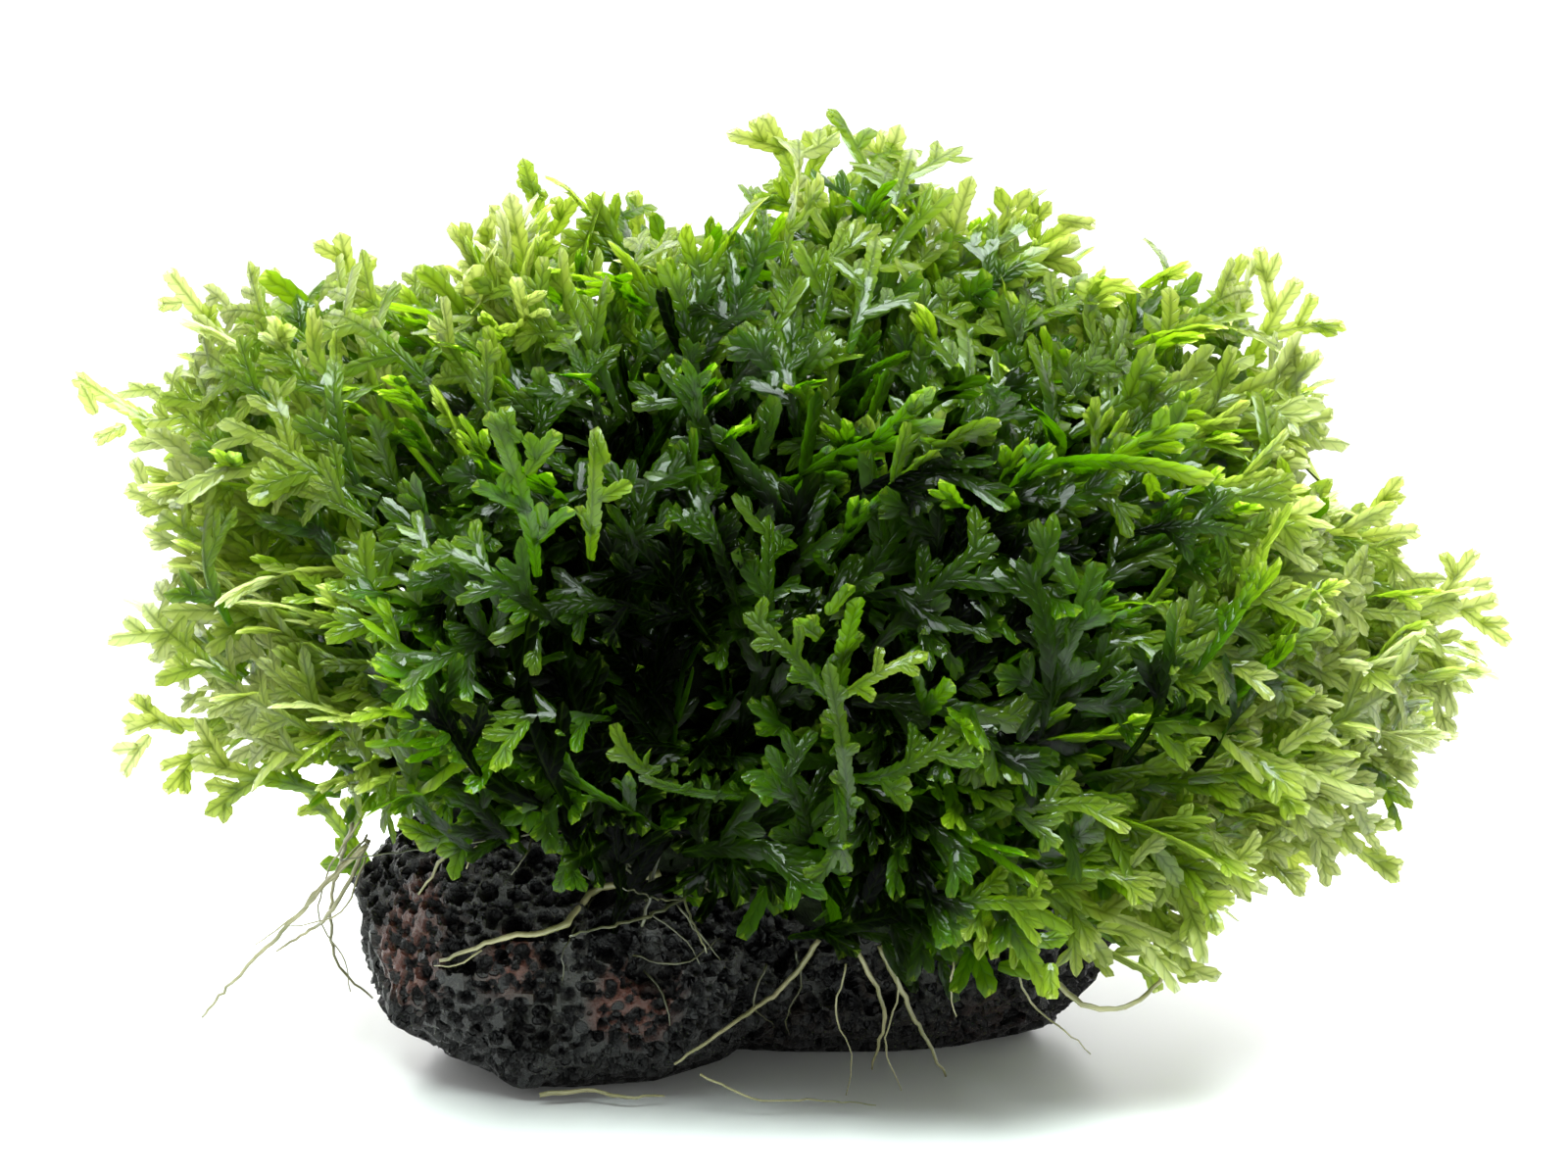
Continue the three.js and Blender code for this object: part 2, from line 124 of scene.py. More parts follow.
class Finish:
    """A tree of shader nodes. node() adds any node and returns its wanted output as a Wire."""

    def __init__(self, tree):
        self.tree = tree
        tree.nodes.clear()

    def node(self, kind, settings=None, sockets=None, output=0):
        made = self.tree.nodes.new(kind)
        for name, value in (settings or {}).items():
            if name == "stops":
                self.set_stops(made.color_ramp, value)
            else:
                setattr(made, name, value)
        for name, value in (sockets or {}).items():
            socket = made.inputs[name]
            if isinstance(value, Wire):
                self.tree.links.new(value.socket, socket)
            else:
                socket.default_value = value
        return Wire(self, made.outputs[output]) if made.outputs else made

    @staticmethod
    def set_stops(ramp, stops):
        while len(ramp.elements) < len(stops):
            ramp.elements.new(1.0)
        for element, (place, colour) in zip(ramp.elements, stops):
            element.position = place
            element.color = colour

    def ramp(self, value, *stops):
        greys = [(place, (*[level] * 3, 1) if isinstance(level, (int, float)) else (*level, 1))
                 for place, level in stops]
        return self.node("ShaderNodeValToRGB", {"stops": greys}, {"Fac": value})

    def blend(self, share, first, second):
        colours = [(*c, 1) if isinstance(c, tuple) else c for c in (first, second)]
        return self.node(
            "ShaderNodeMix",
            {"data_type": "RGBA"},
            {"Factor": share, 6: colours[0], 7: colours[1]},
            output=2,
        )

    def attribute(self, name):
        return self.node("ShaderNodeAttribute", {"attribute_name": name}, output="Fac")

    def noise(self, coordinates, scale, detail=3.0, roughness=0.5, output=0):
        return self.node(
            "ShaderNodeTexNoise",
            None,
            {"Vector": coordinates, "Scale": scale, "Detail": detail, "Roughness": roughness},
            output=output,
        )

    def place(self):
        return self.node("ShaderNodeTexCoord", output="Object")

    def part(self, vector, axis):
        return self.node("ShaderNodeSeparateXYZ", None, {0: vector}, axis)

    def distance(self, place, spot):
        return self.node("ShaderNodeVectorMath", {"operation": "DISTANCE"}, {0: place, 1: spot}, "Value")

    # The height, in metres, is how far a pattern's value of 1 stands out.
    def bump(self, pattern, height, strength=1.0):
        sockets = {"Height": pattern, "Strength": strength, "Distance": height}
        return self.node("ShaderNodeBump", None, sockets)

    def skin(self, sockets):
        return self.node("ShaderNodeBsdfPrincipled", None, sockets)

    def through(self, colour, normal):
        return self.node("ShaderNodeBsdfTranslucent", None, {"Color": (*colour, 1), "Normal": normal})

    def mix(self, share, first, second):
        return self.node("ShaderNodeMixShader", None, {0: share, 1: first, 2: second})

    def surface(self, shader):
        self.node("ShaderNodeOutputMaterial", None, {"Surface": shader})


def new_finish(name):
    material = bpy.data.materials.new(name)
    material.use_nodes = True
    return material, Finish(material.node_tree)


# Colours by youth, from 0 for the oldest growth in the deepest painted shade to 1 for the youngest in
# painted light: the leaf's own colour, and the light that comes through it. Then both in the veins.
LEAF_COLOURS = (
    (0.0, (0.002, 0.003, 0.0004)),
    (0.35, (0.024, 0.052, 0.0015)),
    (0.7, (0.088, 0.132, 0.007)),
    (1.0, (0.15, 0.18, 0.03)),
)
# Through colours above 1 pass on more light than reaches the leaf: painted light on the youngest tips.
SEEN_THROUGH_AND_PAINTED_LIGHT = (
    (0.0, (0.043, 0.078, 0.0085)),
    (0.3, (0.34, 0.6, 0.02)),
    (0.55, (0.71, 0.94, 0.1)),
    (0.8, (1.02, 1.11, 0.43)),
    (1.0, (1.22, 1.26, 0.85)),
)
VEIN_COLOUR = (0.01, 0.03, 0.003)
VEIN_SEEN_THROUGH = (0.27, 0.44, 0.028)
# Side veins: how far they slant forward and the two rows are apart, in leaflets, and how strong
# they are beside the midrib. Then how strong all veins are.
VEINS = {"slant": 0.75, "apart": 0.25, "side": 0.55, "strength": 0.46}
# How much tone and patches change a leaf's youth.
MOTTLE = {"tone": 0.4, "patch": 0.4}


# Wet leafy growth: deep green inside, yellow-green at the tips, letting light through. Its youth also
# carries the front's painted shade and painted light.
def leaf_finish():
    material, f = new_finish("wet_leaf")
    place = f.place()
    leaf = f.node("ShaderNodeUVMap", {"uv_map": "leaf"})
    across = f.part(leaf, "X") * 2 - 1
    along = f.part(leaf, "Y")
    from_rib = abs(across)
    # A point's place between two side veins; the leaf bulges between them.
    row = (along - from_rib * VEINS["slant"] + across.sign() * VEINS["apart"]) % 1.0
    pillow = (row * (1.0 - row) * from_rib * (1.0 - from_rib) * 16.0 + 0.02) ** 0.5
    rib = f.ramp(from_rib, (0.0, 1.0), (0.1, 0.75), (0.26, 0.0))
    seam = f.ramp(row, (0.0, 1.0), (0.14, 0.0), (0.9, 0.0), (1.0, 1.0))
    vein = rib.or_more(seam * VEINS["side"]) * VEINS["strength"]

    patch = f.noise(place, 260.0, 2.0)
    mottle = (f.attribute("tone") - 0.5) * MOTTLE["tone"] + (patch - 0.5) * MOTTLE["patch"]
    # Youth from the age value, so it also carries the front's painted shade and painted light.
    young_and_lit = f.node(
        "ShaderNodeMath",
        {"operation": "ADD", "use_clamp": True},
        {0: 1.02 - f.attribute("age") * 1.15, 1: mottle},
    )
    wrinkles = f.noise(place, 900.0, 1.0)
    normal = f.bump(pillow * 0.5 + wrinkles * 0.8, 0.00018)
    skin = f.skin(
        {
            "Base Color": f.blend(vein, f.ramp(young_and_lit, *LEAF_COLOURS), VEIN_COLOUR),
            "Roughness": f.ramp(f.noise(place, 640.0, 1.0), (0.4, 0.45), (0.5, 0.06)),
            "IOR": 1.34,
            "Coat Weight": f.ramp(f.noise(place, 380.0, 1.0), (0.5, 0.0), (0.54, 1.0)),
            "Coat Roughness": 0.02,
            "Coat IOR": 1.5,
            "Normal": normal,
        }
    )
    glow = f.through(SEEN_THROUGH_AND_PAINTED_LIGHT[0][1], normal)
    for (start, _), (end, colour) in zip(SEEN_THROUGH_AND_PAINTED_LIGHT, SEEN_THROUGH_AND_PAINTED_LIGHT[1:]):
        glow = f.mix(f.ramp(young_and_lit, (start, 0.0), (end, 1.0)), glow, f.through(colour, normal))
    glow = f.mix(vein, glow, f.through(VEIN_SEEN_THROUGH, normal))
    # The older a leaf is and the deeper its painted shade, the less it shines.
    dull = f.ramp(young_and_lit, (0.0, 0.97), (0.15, 0.82), (0.4, 0.58))
    f.surface(f.mix(dull, skin, glow))
    return material


# Old brown-green growth, painted all but black: partly its own colour, partly painted shade of the
# clump's deep inside.
def mat_finish():
    material, f = new_finish("old_growth_in_painted_shade")
    tangle = f.noise(f.place(), 900.0, 5.0, 0.7)
    open_growth = f.ramp(tangle, (0.4, 0.0), (0.62, 1.0))
    skin = f.skin(
        {
            "Base Color": f.blend(open_growth, (0.003, 0.0045, 0.0015), (0.01, 0.017, 0.004)),
            "Roughness": 0.6,
            "Specular IOR Level": 0.1,
            "Normal": f.bump(tangle, 0.0006),
        }
    )
    f.surface(skin)
    return material


# Where the lava is rusty, in metres, and how far each patch spreads.
RUST_SPOTS = (
    ((-0.0205, -0.0095, 0.0095), 0.0042),
    ((-0.0135, -0.0145, 0.0098), 0.003),
    ((-0.007, -0.0155, 0.007), 0.0036),
    ((0.014, 0.0165, 0.008), 0.005),
)


# Wet lava: charcoal, with rusty patches, paler thin walls, pores painted all but black as painted
# shade, and painted shade darkening its foot.
def stone_finish():
    material, f = new_finish("wet_lava")
    place = f.place()
    broad = f.noise(place, 130.0, 3.0)
    fine = f.noise(place, 1400.0, 4.0, 0.65)
    grit = f.noise(place, 5200.0, 3.0, 0.7)
    rust = f.ramp(f.noise(place, 95.0, 2.0), (0.62, 0.0), (0.72, 0.35))
    for spot, radius in RUST_SPOTS:
        from_spot = f.distance(place, spot) / radius + (broad - 0.5) * 1.6
        rust = rust.or_more(f.ramp(from_spot, (0.0, 1.0), (0.55, 0.9), (1.0, 0.0)))

    bent_place = f.blend(0.0006, place, f.noise(place, 600.0, 2.0, output="Color"))
    cells = {"Vector": bent_place, "Scale": 1000.0}
    size = f.node("ShaderNodeSeparateColor", None, {0: f.node("ShaderNodeTexVoronoi", None, cells, "Color")})
    from_middle = f.node("ShaderNodeTexVoronoi", None, cells) - size * 0.2
    pinholes = f.ramp(from_middle, (0.0, 1.0), (0.22, 0.95), (0.28, 0.0))
    rims = f.ramp(from_middle, (0.25, 0.0), (0.32, 1.0), (0.45, 0.0))
    # Pores and pinholes painted all but black: painted shade in the hollows.
    pores = f.ramp(f.attribute("pit"), (0.2, 0.0), (0.5, 1.0)).or_more(pinholes)

    mossy = f.ramp(broad, (0.45, 0.0), (0.7, 1.0)) * 0.5
    # Painted shade: the stone darker towards the floor.
    foot_shade = f.ramp(f.part(place, "Z") * 100.0, (0.1, 0.7), (0.75, 0.0))
    colour = f.blend(fine, (0.004, 0.0037, 0.0035), (0.021, 0.0193, 0.0178))
    colour = f.blend(mossy, colour, (0.014, 0.016, 0.009))
    colour = f.blend(rust * 0.85, colour, f.blend(fine, (0.022, 0.007, 0.005), (0.14, 0.038, 0.02)))
    colour = f.blend(rims * 0.35, colour, (0.05, 0.045, 0.04))
    colour = f.blend(foot_shade, colour, (0.002, 0.002, 0.002))
    skin = f.skin(
        {
            "Base Color": f.blend(pores, colour, (0.0008, 0.0008, 0.0008)),
            "Roughness": f.node("ShaderNodeMapRange", None, {0: grit, 1: 0.3, 2: 0.7, 3: 0.1, 4: 0.6}),
            "Specular IOR Level": 0.36,
            "Normal": f.bump(fine * 0.6 + grit * 0.3 - pinholes, 0.0003),
        }
    )
    f.surface(skin)
    return material


# Wet roots and stems, of two colours in patches.
def root_finish(name, pale, olive):
    material, f = new_finish(name)
    place = f.place()
    patch = f.ramp(f.noise(place, 420.0, 3.0), (0.35, 0.0), (0.65, 1.0))
    skin = f.skin(
        {
            "Base Color": f.blend(patch, pale, olive),
            "Roughness": 0.38,
            "Coat Weight": 0.5,
            "Coat Roughness": 0.1,
            "Normal": f.bump(f.noise(place, 2600.0, 2.0), 0.0001, strength=0.5),
        }
    )
    f.surface(skin)
    return material


# A leafy shoot has two rows of leaflets: how far they are apart along it, their half width, how far
# the midrib stands up, and how much of the first shoot and of the others is a stalk.
LEAFLET = {"pitch": 0.85, "half_width": 0.51, "keel": 0.09, "stalk": 0.3, "side_stalk": 0.12}
# For 1, 2 or 3 rows of points to a leaflet: how wide it is there, and how far it leans forward.
LOBE = {1: ((1.0, 0.05),), 2: ((0.9, 0.0), (1.06, 0.14)), 3: ((0.86, 0.0), (1.0, 0.05), (1.07, 0.18))}
# The last row of a shoot, with and without a notch: its half width in leaflets, and how far its
# middle stands out. Then how far the corners do, and the share of shoots that is notched.
SHOOT_END = {True: (0.7, -0.32), False: (0.5, 0.24), "corners": 0.06, "notched": 0.6}
# How one shoot differs from the next: a sideways bow, how far the rows hang from the midrib, the
# leaflets' sizes, and how far single leaflets hang. Then how wide the foot of a stalk is, and how
# much a shoot widens towards its end.
SHOOT = {"bow": (-0.14, 0.14), "cup": (0.0, 0.42), "sizes": (0.9, 1.1), "hang": (0.0, 0.2),
         "foot": 0.5, "widens": 0.1}
# The shoots at a frond's sides: where the first stands, the least length beyond the last, their
# angles in degrees, how they vary in reach, width and gap, and how far they rise from the plane.
# Their reach is this share of the spread at the frond's ends and more towards its middle, but no
# more than a share of the frond that is left there, and a length.
SIDE = {
    "first": (0.18, 0.28), "last": 1.0, "angle": (36, 54), "reach": (0.75, 1.12),
    "width": (0.85, 1.0), "gap": (0.8, 1.25), "rise": (-0.22, 0.35),
    "at_ends": 0.62, "half_way": 1.5, "of_rest": 0.75, "more": 2.2,
}
# A side shoot's own shoots: from what reach it has them, where they stand, their angle and length.
SUB_SHOOTS = (
    {"from": 2.6, "at": (0.34, 0.5), "hand": 1},
    {"from": 4.0, "at": (0.58, 0.72), "hand": -1},
)
SUB = {"angle": (-52, -38), "length": (0.72, 0.95), "width": 0.92}


# A flat frond: a leafy shoot with shorter shoots on alternate sides, built lying in X and Y.
class Frond:
    def __init__(self, seed, length, spread, rows, sub_shoots=True, side_gap=2.2):
        self.chance = random.Random(seed)
        self.rows = rows
        self.length = length
        self.bm = bmesh.new()
        self.uv = self.bm.loops.layers.uv.new("leaf")
        self.where = {}
        self.shoot(Vector((0, 0, 0)), 0.0, length, LEAFLET["half_width"], 0.0, stalk=LEAFLET["stalk"])
        hand = self.chance.choice((-1, 1))
        along = length * self.chance.uniform(*SIDE["first"])
        while along < length - SIDE["last"]:
            share = along / length
            fullness = SIDE["at_ends"] + SIDE["half_way"] * share * (1 - share)
            reach = spread * fullness * self.chance.uniform(*SIDE["reach"])
            reach = min(reach, (length - along) * SIDE["of_rest"] + SIDE["more"])
            angle = hand * math.radians(self.chance.uniform(*SIDE["angle"]))
            self.side_shoot(along, angle, reach, hand, sub_shoots)
            hand = -hand
            along += side_gap * self.chance.uniform(*SIDE["gap"])
        self.freeze()

    def side_shoot(self, along, angle, reach, hand, sub_shoots):
        foot = Vector((0, along, 0))
        half = LEAFLET["half_width"] * self.chance.uniform(*SIDE["width"])
        rise = self.chance.uniform(*SIDE["rise"])
        self.shoot(foot, angle, reach, half, rise)
        if not sub_shoots or reach < SUB_SHOOTS[0]["from"]:
            return
        places = [self.chance.uniform(*sub["at"]) for sub in SUB_SHOOTS]
        for sub, share in zip(SUB_SHOOTS, places):
            if reach < sub["from"]:
                continue
            start = foot + Vector((math.sin(angle), math.cos(angle), rise)) * reach * share
            turned = angle + sub["hand"] * hand * math.radians(self.chance.uniform(*SUB["angle"]))
            short = reach * (1 - share) * self.chance.uniform(*SUB["length"])
            self.shoot(start, turned, short, SUB["width"] * half, rise)

    # One shoot: a keeled upper face and a flat lower one, joined along the lobed margins.
    def shoot(self, foot, angle, length, half, rise, stalk=LEAFLET["side_stalk"]):
        steps = max(3, round(length / LEAFLET["pitch"] * self.rows))
        leaflets = 2 * steps + 4
        habit = {
            "foot": foot,
            "heading": Vector((math.sin(angle), math.cos(angle), rise)),
            "across": Vector((math.cos(angle), -math.sin(angle), 0)),
            "length": length,
            "half": half,
            "stalk": stalk,
            "steps": steps,
            "bow": self.chance.uniform(*SHOOT["bow"]),
            "cup": self.chance.uniform(*SHOOT["cup"]),
            "notched": self.chance.random() < SHOOT_END["notched"],
            "sizes": [self.chance.uniform(*SHOOT["sizes"]) for _ in range(leaflets)],
            "hang": [self.chance.uniform(*SHOOT["hang"]) for _ in range(leaflets)],
        }
        both = []
        for columns in (2, 1):
            made = bmesh.ops.create_grid(self.bm, x_segments=columns, y_segments=steps, size=1)["verts"]
            for v in made:
                self.shape(v, round(v.co.x), round((v.co.y + 1) / 2 * steps), habit)
            faces = {f for v in made for f in v.link_faces}
            for f in faces:
                for loop in f.loops:
                    hand, along = self.where[loop.vert]
                    loop[self.uv].uv = (0.5 + 0.5 * hand, along)
            if columns == 1:
                bmesh.ops.reverse_faces(self.bm, faces=list(faces))
            both += made
        bmesh.ops.remove_doubles(self.bm, verts=both, dist=1e-5)

    # Moves a grid point to its place in the shoot: hand is -1 or 1 on the margins and 0 on the midrib.
    def shape(self, v, hand, step, habit):
        steps, length, half = habit["steps"], habit["length"], habit["half"]
        share = step / steps
        along = share * length
        row = step + (1 if hand > 0 else 0)
        leaf = 2 * (row // self.rows) + (hand > 0)
        width, lean = LOBE[self.rows][row % self.rows]
        grown = min(1.0, SHOOT["foot"] + share / habit["stalk"] * (1 - SHOOT["foot"]))
        grown *= 1 + SHOOT["widens"] * share**3
        width *= half * grown * habit["sizes"][leaf]
        drop = -(habit["cup"] * half + habit["hang"][leaf] * width) * abs(hand)
        if step == steps:
            end_width, middle = SHOOT_END[habit["notched"]]
            width = half * end_width
            along += SHOOT_END["corners"] if hand else middle
        elif hand and 0 < step < steps - 1:
            along += lean * LEAFLET["pitch"]
        keel = 0 if hand or step in (0, steps) else LEAFLET["keel"]
        aside = hand * width + habit["bow"] * along * along / length
        v.co = habit["foot"] + habit["heading"] * along + habit["across"] * aside
        v.co.z += drop + keel
        self.where[v] = (hand, along / LEAFLET["pitch"])

    # The finished frond as plain arrays, ready to be bent and repeated.
    def freeze(self):
        mesh = bpy.data.meshes.new("frond")
        self.bm.to_mesh(mesh)
        self.bm.free()
        self.points = np.empty(len(mesh.vertices) * 3)
        mesh.vertices.foreach_get("co", self.points)
        self.points = self.points.reshape(-1, 3)
        self.corners = np.empty(len(mesh.loops), int)
        mesh.loops.foreach_get("vertex_index", self.corners)
        self.starts = np.empty(len(mesh.polygons), int)
        mesh.polygons.foreach_get("loop_start", self.starts)
        self.uvs = np.empty(len(mesh.loops) * 2)
        mesh.uv_layers["leaf"].data.foreach_get("uv", self.uvs)
        bpy.data.meshes.remove(mesh)


def unit(v):
    return v / np.linalg.norm(v)


def degrees_between(a, b):
    return math.degrees(math.acos(a @ b))


def any_way(chance):
    return np.array([chance.gauss(0, 1) for _ in range(3)])


def bowed_length(base, middle, tip):
    return np.linalg.norm(middle - base) + np.linalg.norm(tip - middle)


# The frond's points laid along a bowed line, with its flat side towards the normal at the base.
def laid(frond, base, middle, tip, normal, twist):
    t = (frond.points[:, 1] / frond.length)[:, None]
    line = (1 - t) ** 2 * base + 2 * t * (1 - t) * middle + t**2 * tip
    tangent = 2 * (1 - t) * (middle - base) + 2 * t * (tip - middle)
    tangent /= np.linalg.norm(tangent, axis=1)[:, None]
    facing = normal - (tangent @ normal)[:, None] * tangent
    facing /= np.linalg.norm(facing, axis=1)[:, None]
    across = np.cross(tangent, facing)
    turn = twist * t
    turned_across = across * np.cos(turn) + facing * np.sin(turn)
    turned_facing = facing * np.cos(turn) - across * np.sin(turn)
    scale = bowed_length(base, middle, tip) / frond.length
    return line + turned_across * frond.points[:, :1] * scale + turned_facing * frond.points[:, 2:] * scale


# The piece rides on the body and takes its place in the scene.
def set_down(name, mesh, finish):
    mesh.materials.clear()
    mesh.materials.append(finish)
    piece = bpy.data.objects.new(name, mesh)
    bpy.context.scene.collection.objects.link(piece)
    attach(piece, BODY)
    return piece


# Margins and pores keep an edge where they turn by more than these degrees.
SHARP_FROM = {"leaf": 80, "stone": 40}


# Many fronds joined in one mesh.
class Growth:
    def __init__(self):
        self.fronds = []
        self.points = []
        self.tones = []
        self.ages_and_shade = []

    def add(self, frond, points, tone, base_age_and_shade, tip_age_and_shade):
        share = np.clip(frond.points[:, 1] / frond.length, 0, 1)
        self.fronds.append(frond)
        self.points.append(points)
        self.tones.append(np.full(len(points), tone))
        self.ages_and_shade.append(base_age_and_shade + (tip_age_and_shade - base_age_and_shade) * share)

    def piece(self, name, finish, slot, replaced):
        firsts = np.cumsum([0] + [len(points) for points in self.points])
        first_corners = np.cumsum([0] + [len(frond.corners) for frond in self.fronds])
        corners = np.concatenate([frond.corners + n for frond, n in zip(self.fronds, firsts)])
        starts = np.concatenate([frond.starts + n for frond, n in zip(self.fronds, first_corners)])
        points = np.concatenate(self.points) * MM
        mesh = bpy.data.meshes.new(name)
        mesh.vertices.add(len(points))
        mesh.vertices.foreach_set("co", points.ravel())
        mesh.loops.add(len(corners))
        mesh.loops.foreach_set("vertex_index", corners)
        mesh.polygons.add(len(starts))
        mesh.polygons.foreach_set("loop_start", starts)
        mesh.update(calc_edges=True)
        leaf = mesh.uv_layers.new(name="leaf")
        leaf.data.foreach_set("uv", np.concatenate([frond.uvs for frond in self.fronds]))
        # The age value also carries the front's painted shade and painted light.
        for attribute, values in (("tone", self.tones), ("age", self.ages_and_shade)):
            layer = mesh.attributes.new(attribute, "FLOAT", "POINT")
            layer.data.foreach_set("value", np.concatenate(values))
        mesh.shade_smooth()
        mesh.set_sharp_from_angle(angle=math.radians(SHARP_FROM["leaf"]))
        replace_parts(set_down(name, mesh, finish), replaced)


def node_points(name):
    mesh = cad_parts[name].data
    points = np.empty(len(mesh.vertices) * 3)
    mesh.vertices.foreach_get("co", points)
    return points.reshape(-1, 3) / MM


# Farther than any part of the object is from the core.
FAR = 120
# A free frond lifts the growth round it, less with each radian from it, out to a cone in radians.
# A thin one doesn't.
SPIKE = {"cone": 0.24, "fall": 0.9}
THIN_SPRIGS = ("sprig_left_long",)
# The outline is read in the wanted heading and in six round it, this far off, and the mean of the
# farthest three is taken.
ROUND_HEADING = {"cone": 0.12, "headings": 6, "farthest": 3}


# The nodes' own surfaces, to find how far the moss and the stone reach in a direction.
class Surface:
    def __init__(self, names, spikes=()):
        points, faces, self.owner = [], [], []
        for name in names:
            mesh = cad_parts[name].data
            first = len(points)
            points += [v.co / MM for v in mesh.vertices]
            faces += [[first + i for i in p.vertices] for p in mesh.polygons]
            self.owner += [name] * len(mesh.polygons)
        self.tree = BVHTree.FromPolygons(points, faces)
        beyond = [node_points(name) - CORE for name in spikes if name not in THIN_SPRIGS]
        self.spikes = np.concatenate(beyond) if beyond else np.empty((0, 3))
        self.spike_reach = np.linalg.norm(self.spikes, axis=1)

    def reach(self, heading):
        start = Vector(CORE + heading * FAR)
        place, _, face, _ = self.tree.ray_cast(start, Vector(-heading), FAR)
        if place is None:
            return 0.0, None
        return (np.array(place) - CORE) @ heading, self.owner[face]

    # The front of the surface, seen from the viewer's side.
    def front(self, x, z):
        return self.tree.ray_cast(Vector((x, -FAR / 2, z)), Vector(-TOWARDS_VIEWER), FAR)[0]

    # The farthest reach in a heading and round it, so that tips stand on the outline, not in its dents.
    def outline(self, heading):
        reach, owner = self.reach(heading)
        if owner is None:
            return reach, owner
        aside = unit(np.cross(heading, UP + 0.01))
        upright = np.cross(aside, heading)
        reaches = [reach]
        for k in range(ROUND_HEADING["headings"]):
            turn = math.radians(360 / ROUND_HEADING["headings"] * k)
            off = ROUND_HEADING["cone"] * (aside * math.cos(turn) + upright * math.sin(turn))
            reaches.append(self.reach(unit(heading + off))[0])
        reach = sum(sorted(reaches)[-ROUND_HEADING["farthest"]:]) / ROUND_HEADING["farthest"]
        apart = np.arccos(np.clip(self.spikes @ heading / self.spike_reach, -1, 1))
        near = self.spike_reach * np.where(apart < SPIKE["cone"], 1 - SPIKE["fall"] * apart, 0)
        return max(reach, near.max()), owner


# The nth of many headings that are spread evenly between two heights on a ball.
def spread_heading(n, count, lowest, highest):
    golden_angle = math.pi * (3 - math.sqrt(5))
    height = lowest + (highest - lowest) * (n + 0.5) / count
    flat = math.sqrt(1 - height * height)
    return np.array((flat * math.cos(n * golden_angle), flat * math.sin(n * golden_angle), height))


def towards(azimuth, elevation):
    turn, rise = math.radians(azimuth), math.radians(elevation)
    return np.array((math.cos(rise) * math.cos(turn), math.cos(rise) * math.sin(turn), math.sin(rise)))


# The dark opening at the front, and the bare places below it down to the stone: the way to each,
# and the degrees by which it is narrower than the first.
OPENING = towards(-90, 38)
BARE_BELOW_LEFT = towards(-106, 12)
BARE_BELOW_RIGHT = towards(-72, 0)
BARE_SIDES = ((OPENING, 0), (BARE_BELOW_LEFT, 8), (BARE_BELOW_RIGHT, 8))
# By degrees away from there: how far the fronds lean over, and the share of them that is missing.
LEAN = ((0, 25, 60, 100, 180), (82, 78, 66, 36, 45))
BARE = ((0, 18, 27), (0.76, 0.76, 0.0))

TUFTS = [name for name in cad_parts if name.startswith("tuft")]
SPRIGS = [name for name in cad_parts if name.startswith("sprig")]
FRONT_SPRIGS = ("sprig_front_upright", "sprig_front_branch", "sprig_front_hanging")

# Layers of growth from the outside in: how many directions are tried, where the tips are as shares
# of the reach, the fronds' lengths, how old their tips and bases look before the front's painted shade
# is added and the most that the sum may be, how much of the bare share holds for them, and their kind.
LAYERS = (
    {"tried": 2600, "tips": (0.93, 1.0), "length": (8, 12), "age": (0.2, 0.75), "oldest": 1.0,
     "bare": 1.0, "kind": "fine"},
    {"tried": 2000, "tips": (0.76, 0.93), "length": (8, 12), "age": (0.4, 0.82), "oldest": 0.86,
     "bare": 0.9, "kind": "plain"},
    {"tried": 1000, "tips": (0.6, 0.78), "length": (9, 13), "age": (0.62, 0.9), "oldest": 0.82,
     "bare": 0.3, "kind": "simple"},
)
# The modelled fronds of each kind.
KINDS = {
    "fine": {"seeds": range(12), "length": 10.5, "spread": 4.4, "rows": 2, "sub_shoots": True},
    "plain": {"seeds": range(20, 26), "length": 10, "spread": 4.2, "rows": 2, "sub_shoots": False},
    "simple": {"seeds": range(40, 44), "length": 11, "spread": 4, "rows": 1, "sub_shoots": False},
}
# The lowest and highest headings, and how far each strays.
HEADINGS = {"lowest": -0.2, "highest": 0.995, "stray": 0.05}
# Headings are kept by the square of their reach, up to this one, so that the growth is as close on
# the far corners of the dome as beside the stone.
EVEN_REACH = 54
# How the fronds stray from the set lean and twist, how much they turn away from the opening, to a
# side and down, how near the stone tips may be, and the lowest that any point is.
HABIT = {"lean": (-24, 18), "twist": (-0.7, 0.7), "away": 1.2, "sideways": 0.45, "droop": 0.35,
         "droops_below": 0.45, "off_stone": 1.5, "lowest": 0.6}
# Which way flat sides face: towards the viewer, less so at the front where they also face up, and
# any way. A frond at the front that would show its edge is turned to the viewer.
FACING = {"less": 0.75, "up": 0.25, "any": 0.22, "front": 0.1, "edge_on": 0.45, "turned": 0.7}
# The dark heart of the front: its middle as across and up, how it slants, its half width and its half
# heights above and below; then, by the distance from the middle, how much older the growth looks and
# how much painted shade it has, which turns to painted light where the value is below zero.
HEART = {"across": 2.8, "up": -5.5, "slant": 0.2, "wide": 25.8, "above": 24.5, "below": 18.4}
HEART_AGE_AND_SHADE = ((0, 0.45, 0.6, 0.8, 1.0, 1.15, 1.3, 1.5), (0.42, 0.41, 0.35, 0.23, 0.09, -0.05, -0.17, -0.24))
# Painted shade and painted light at places of the front: across and up, how wide, and how much older
# and darker, brighter where below zero.
PAINTED_LIGHT_AND_SHADE = ((-17, 8, 10, 0.26), (-3, 17, 12, 0.1), (-5, -14, 8, 0.44), (9, -23, 8, 0.38), (18, 3, 9, 0.14),
           (7, 7, 6, -0.26), (27, -11, 8, -0.14), (-31, -5, 6, -0.14))
# How squarely a place faces the viewer where the front's ages and painted shade fade out and where
# they hold in full.
FRONT_SHADE_AND_AGES = ((-0.3, 0.1), (0, 1))

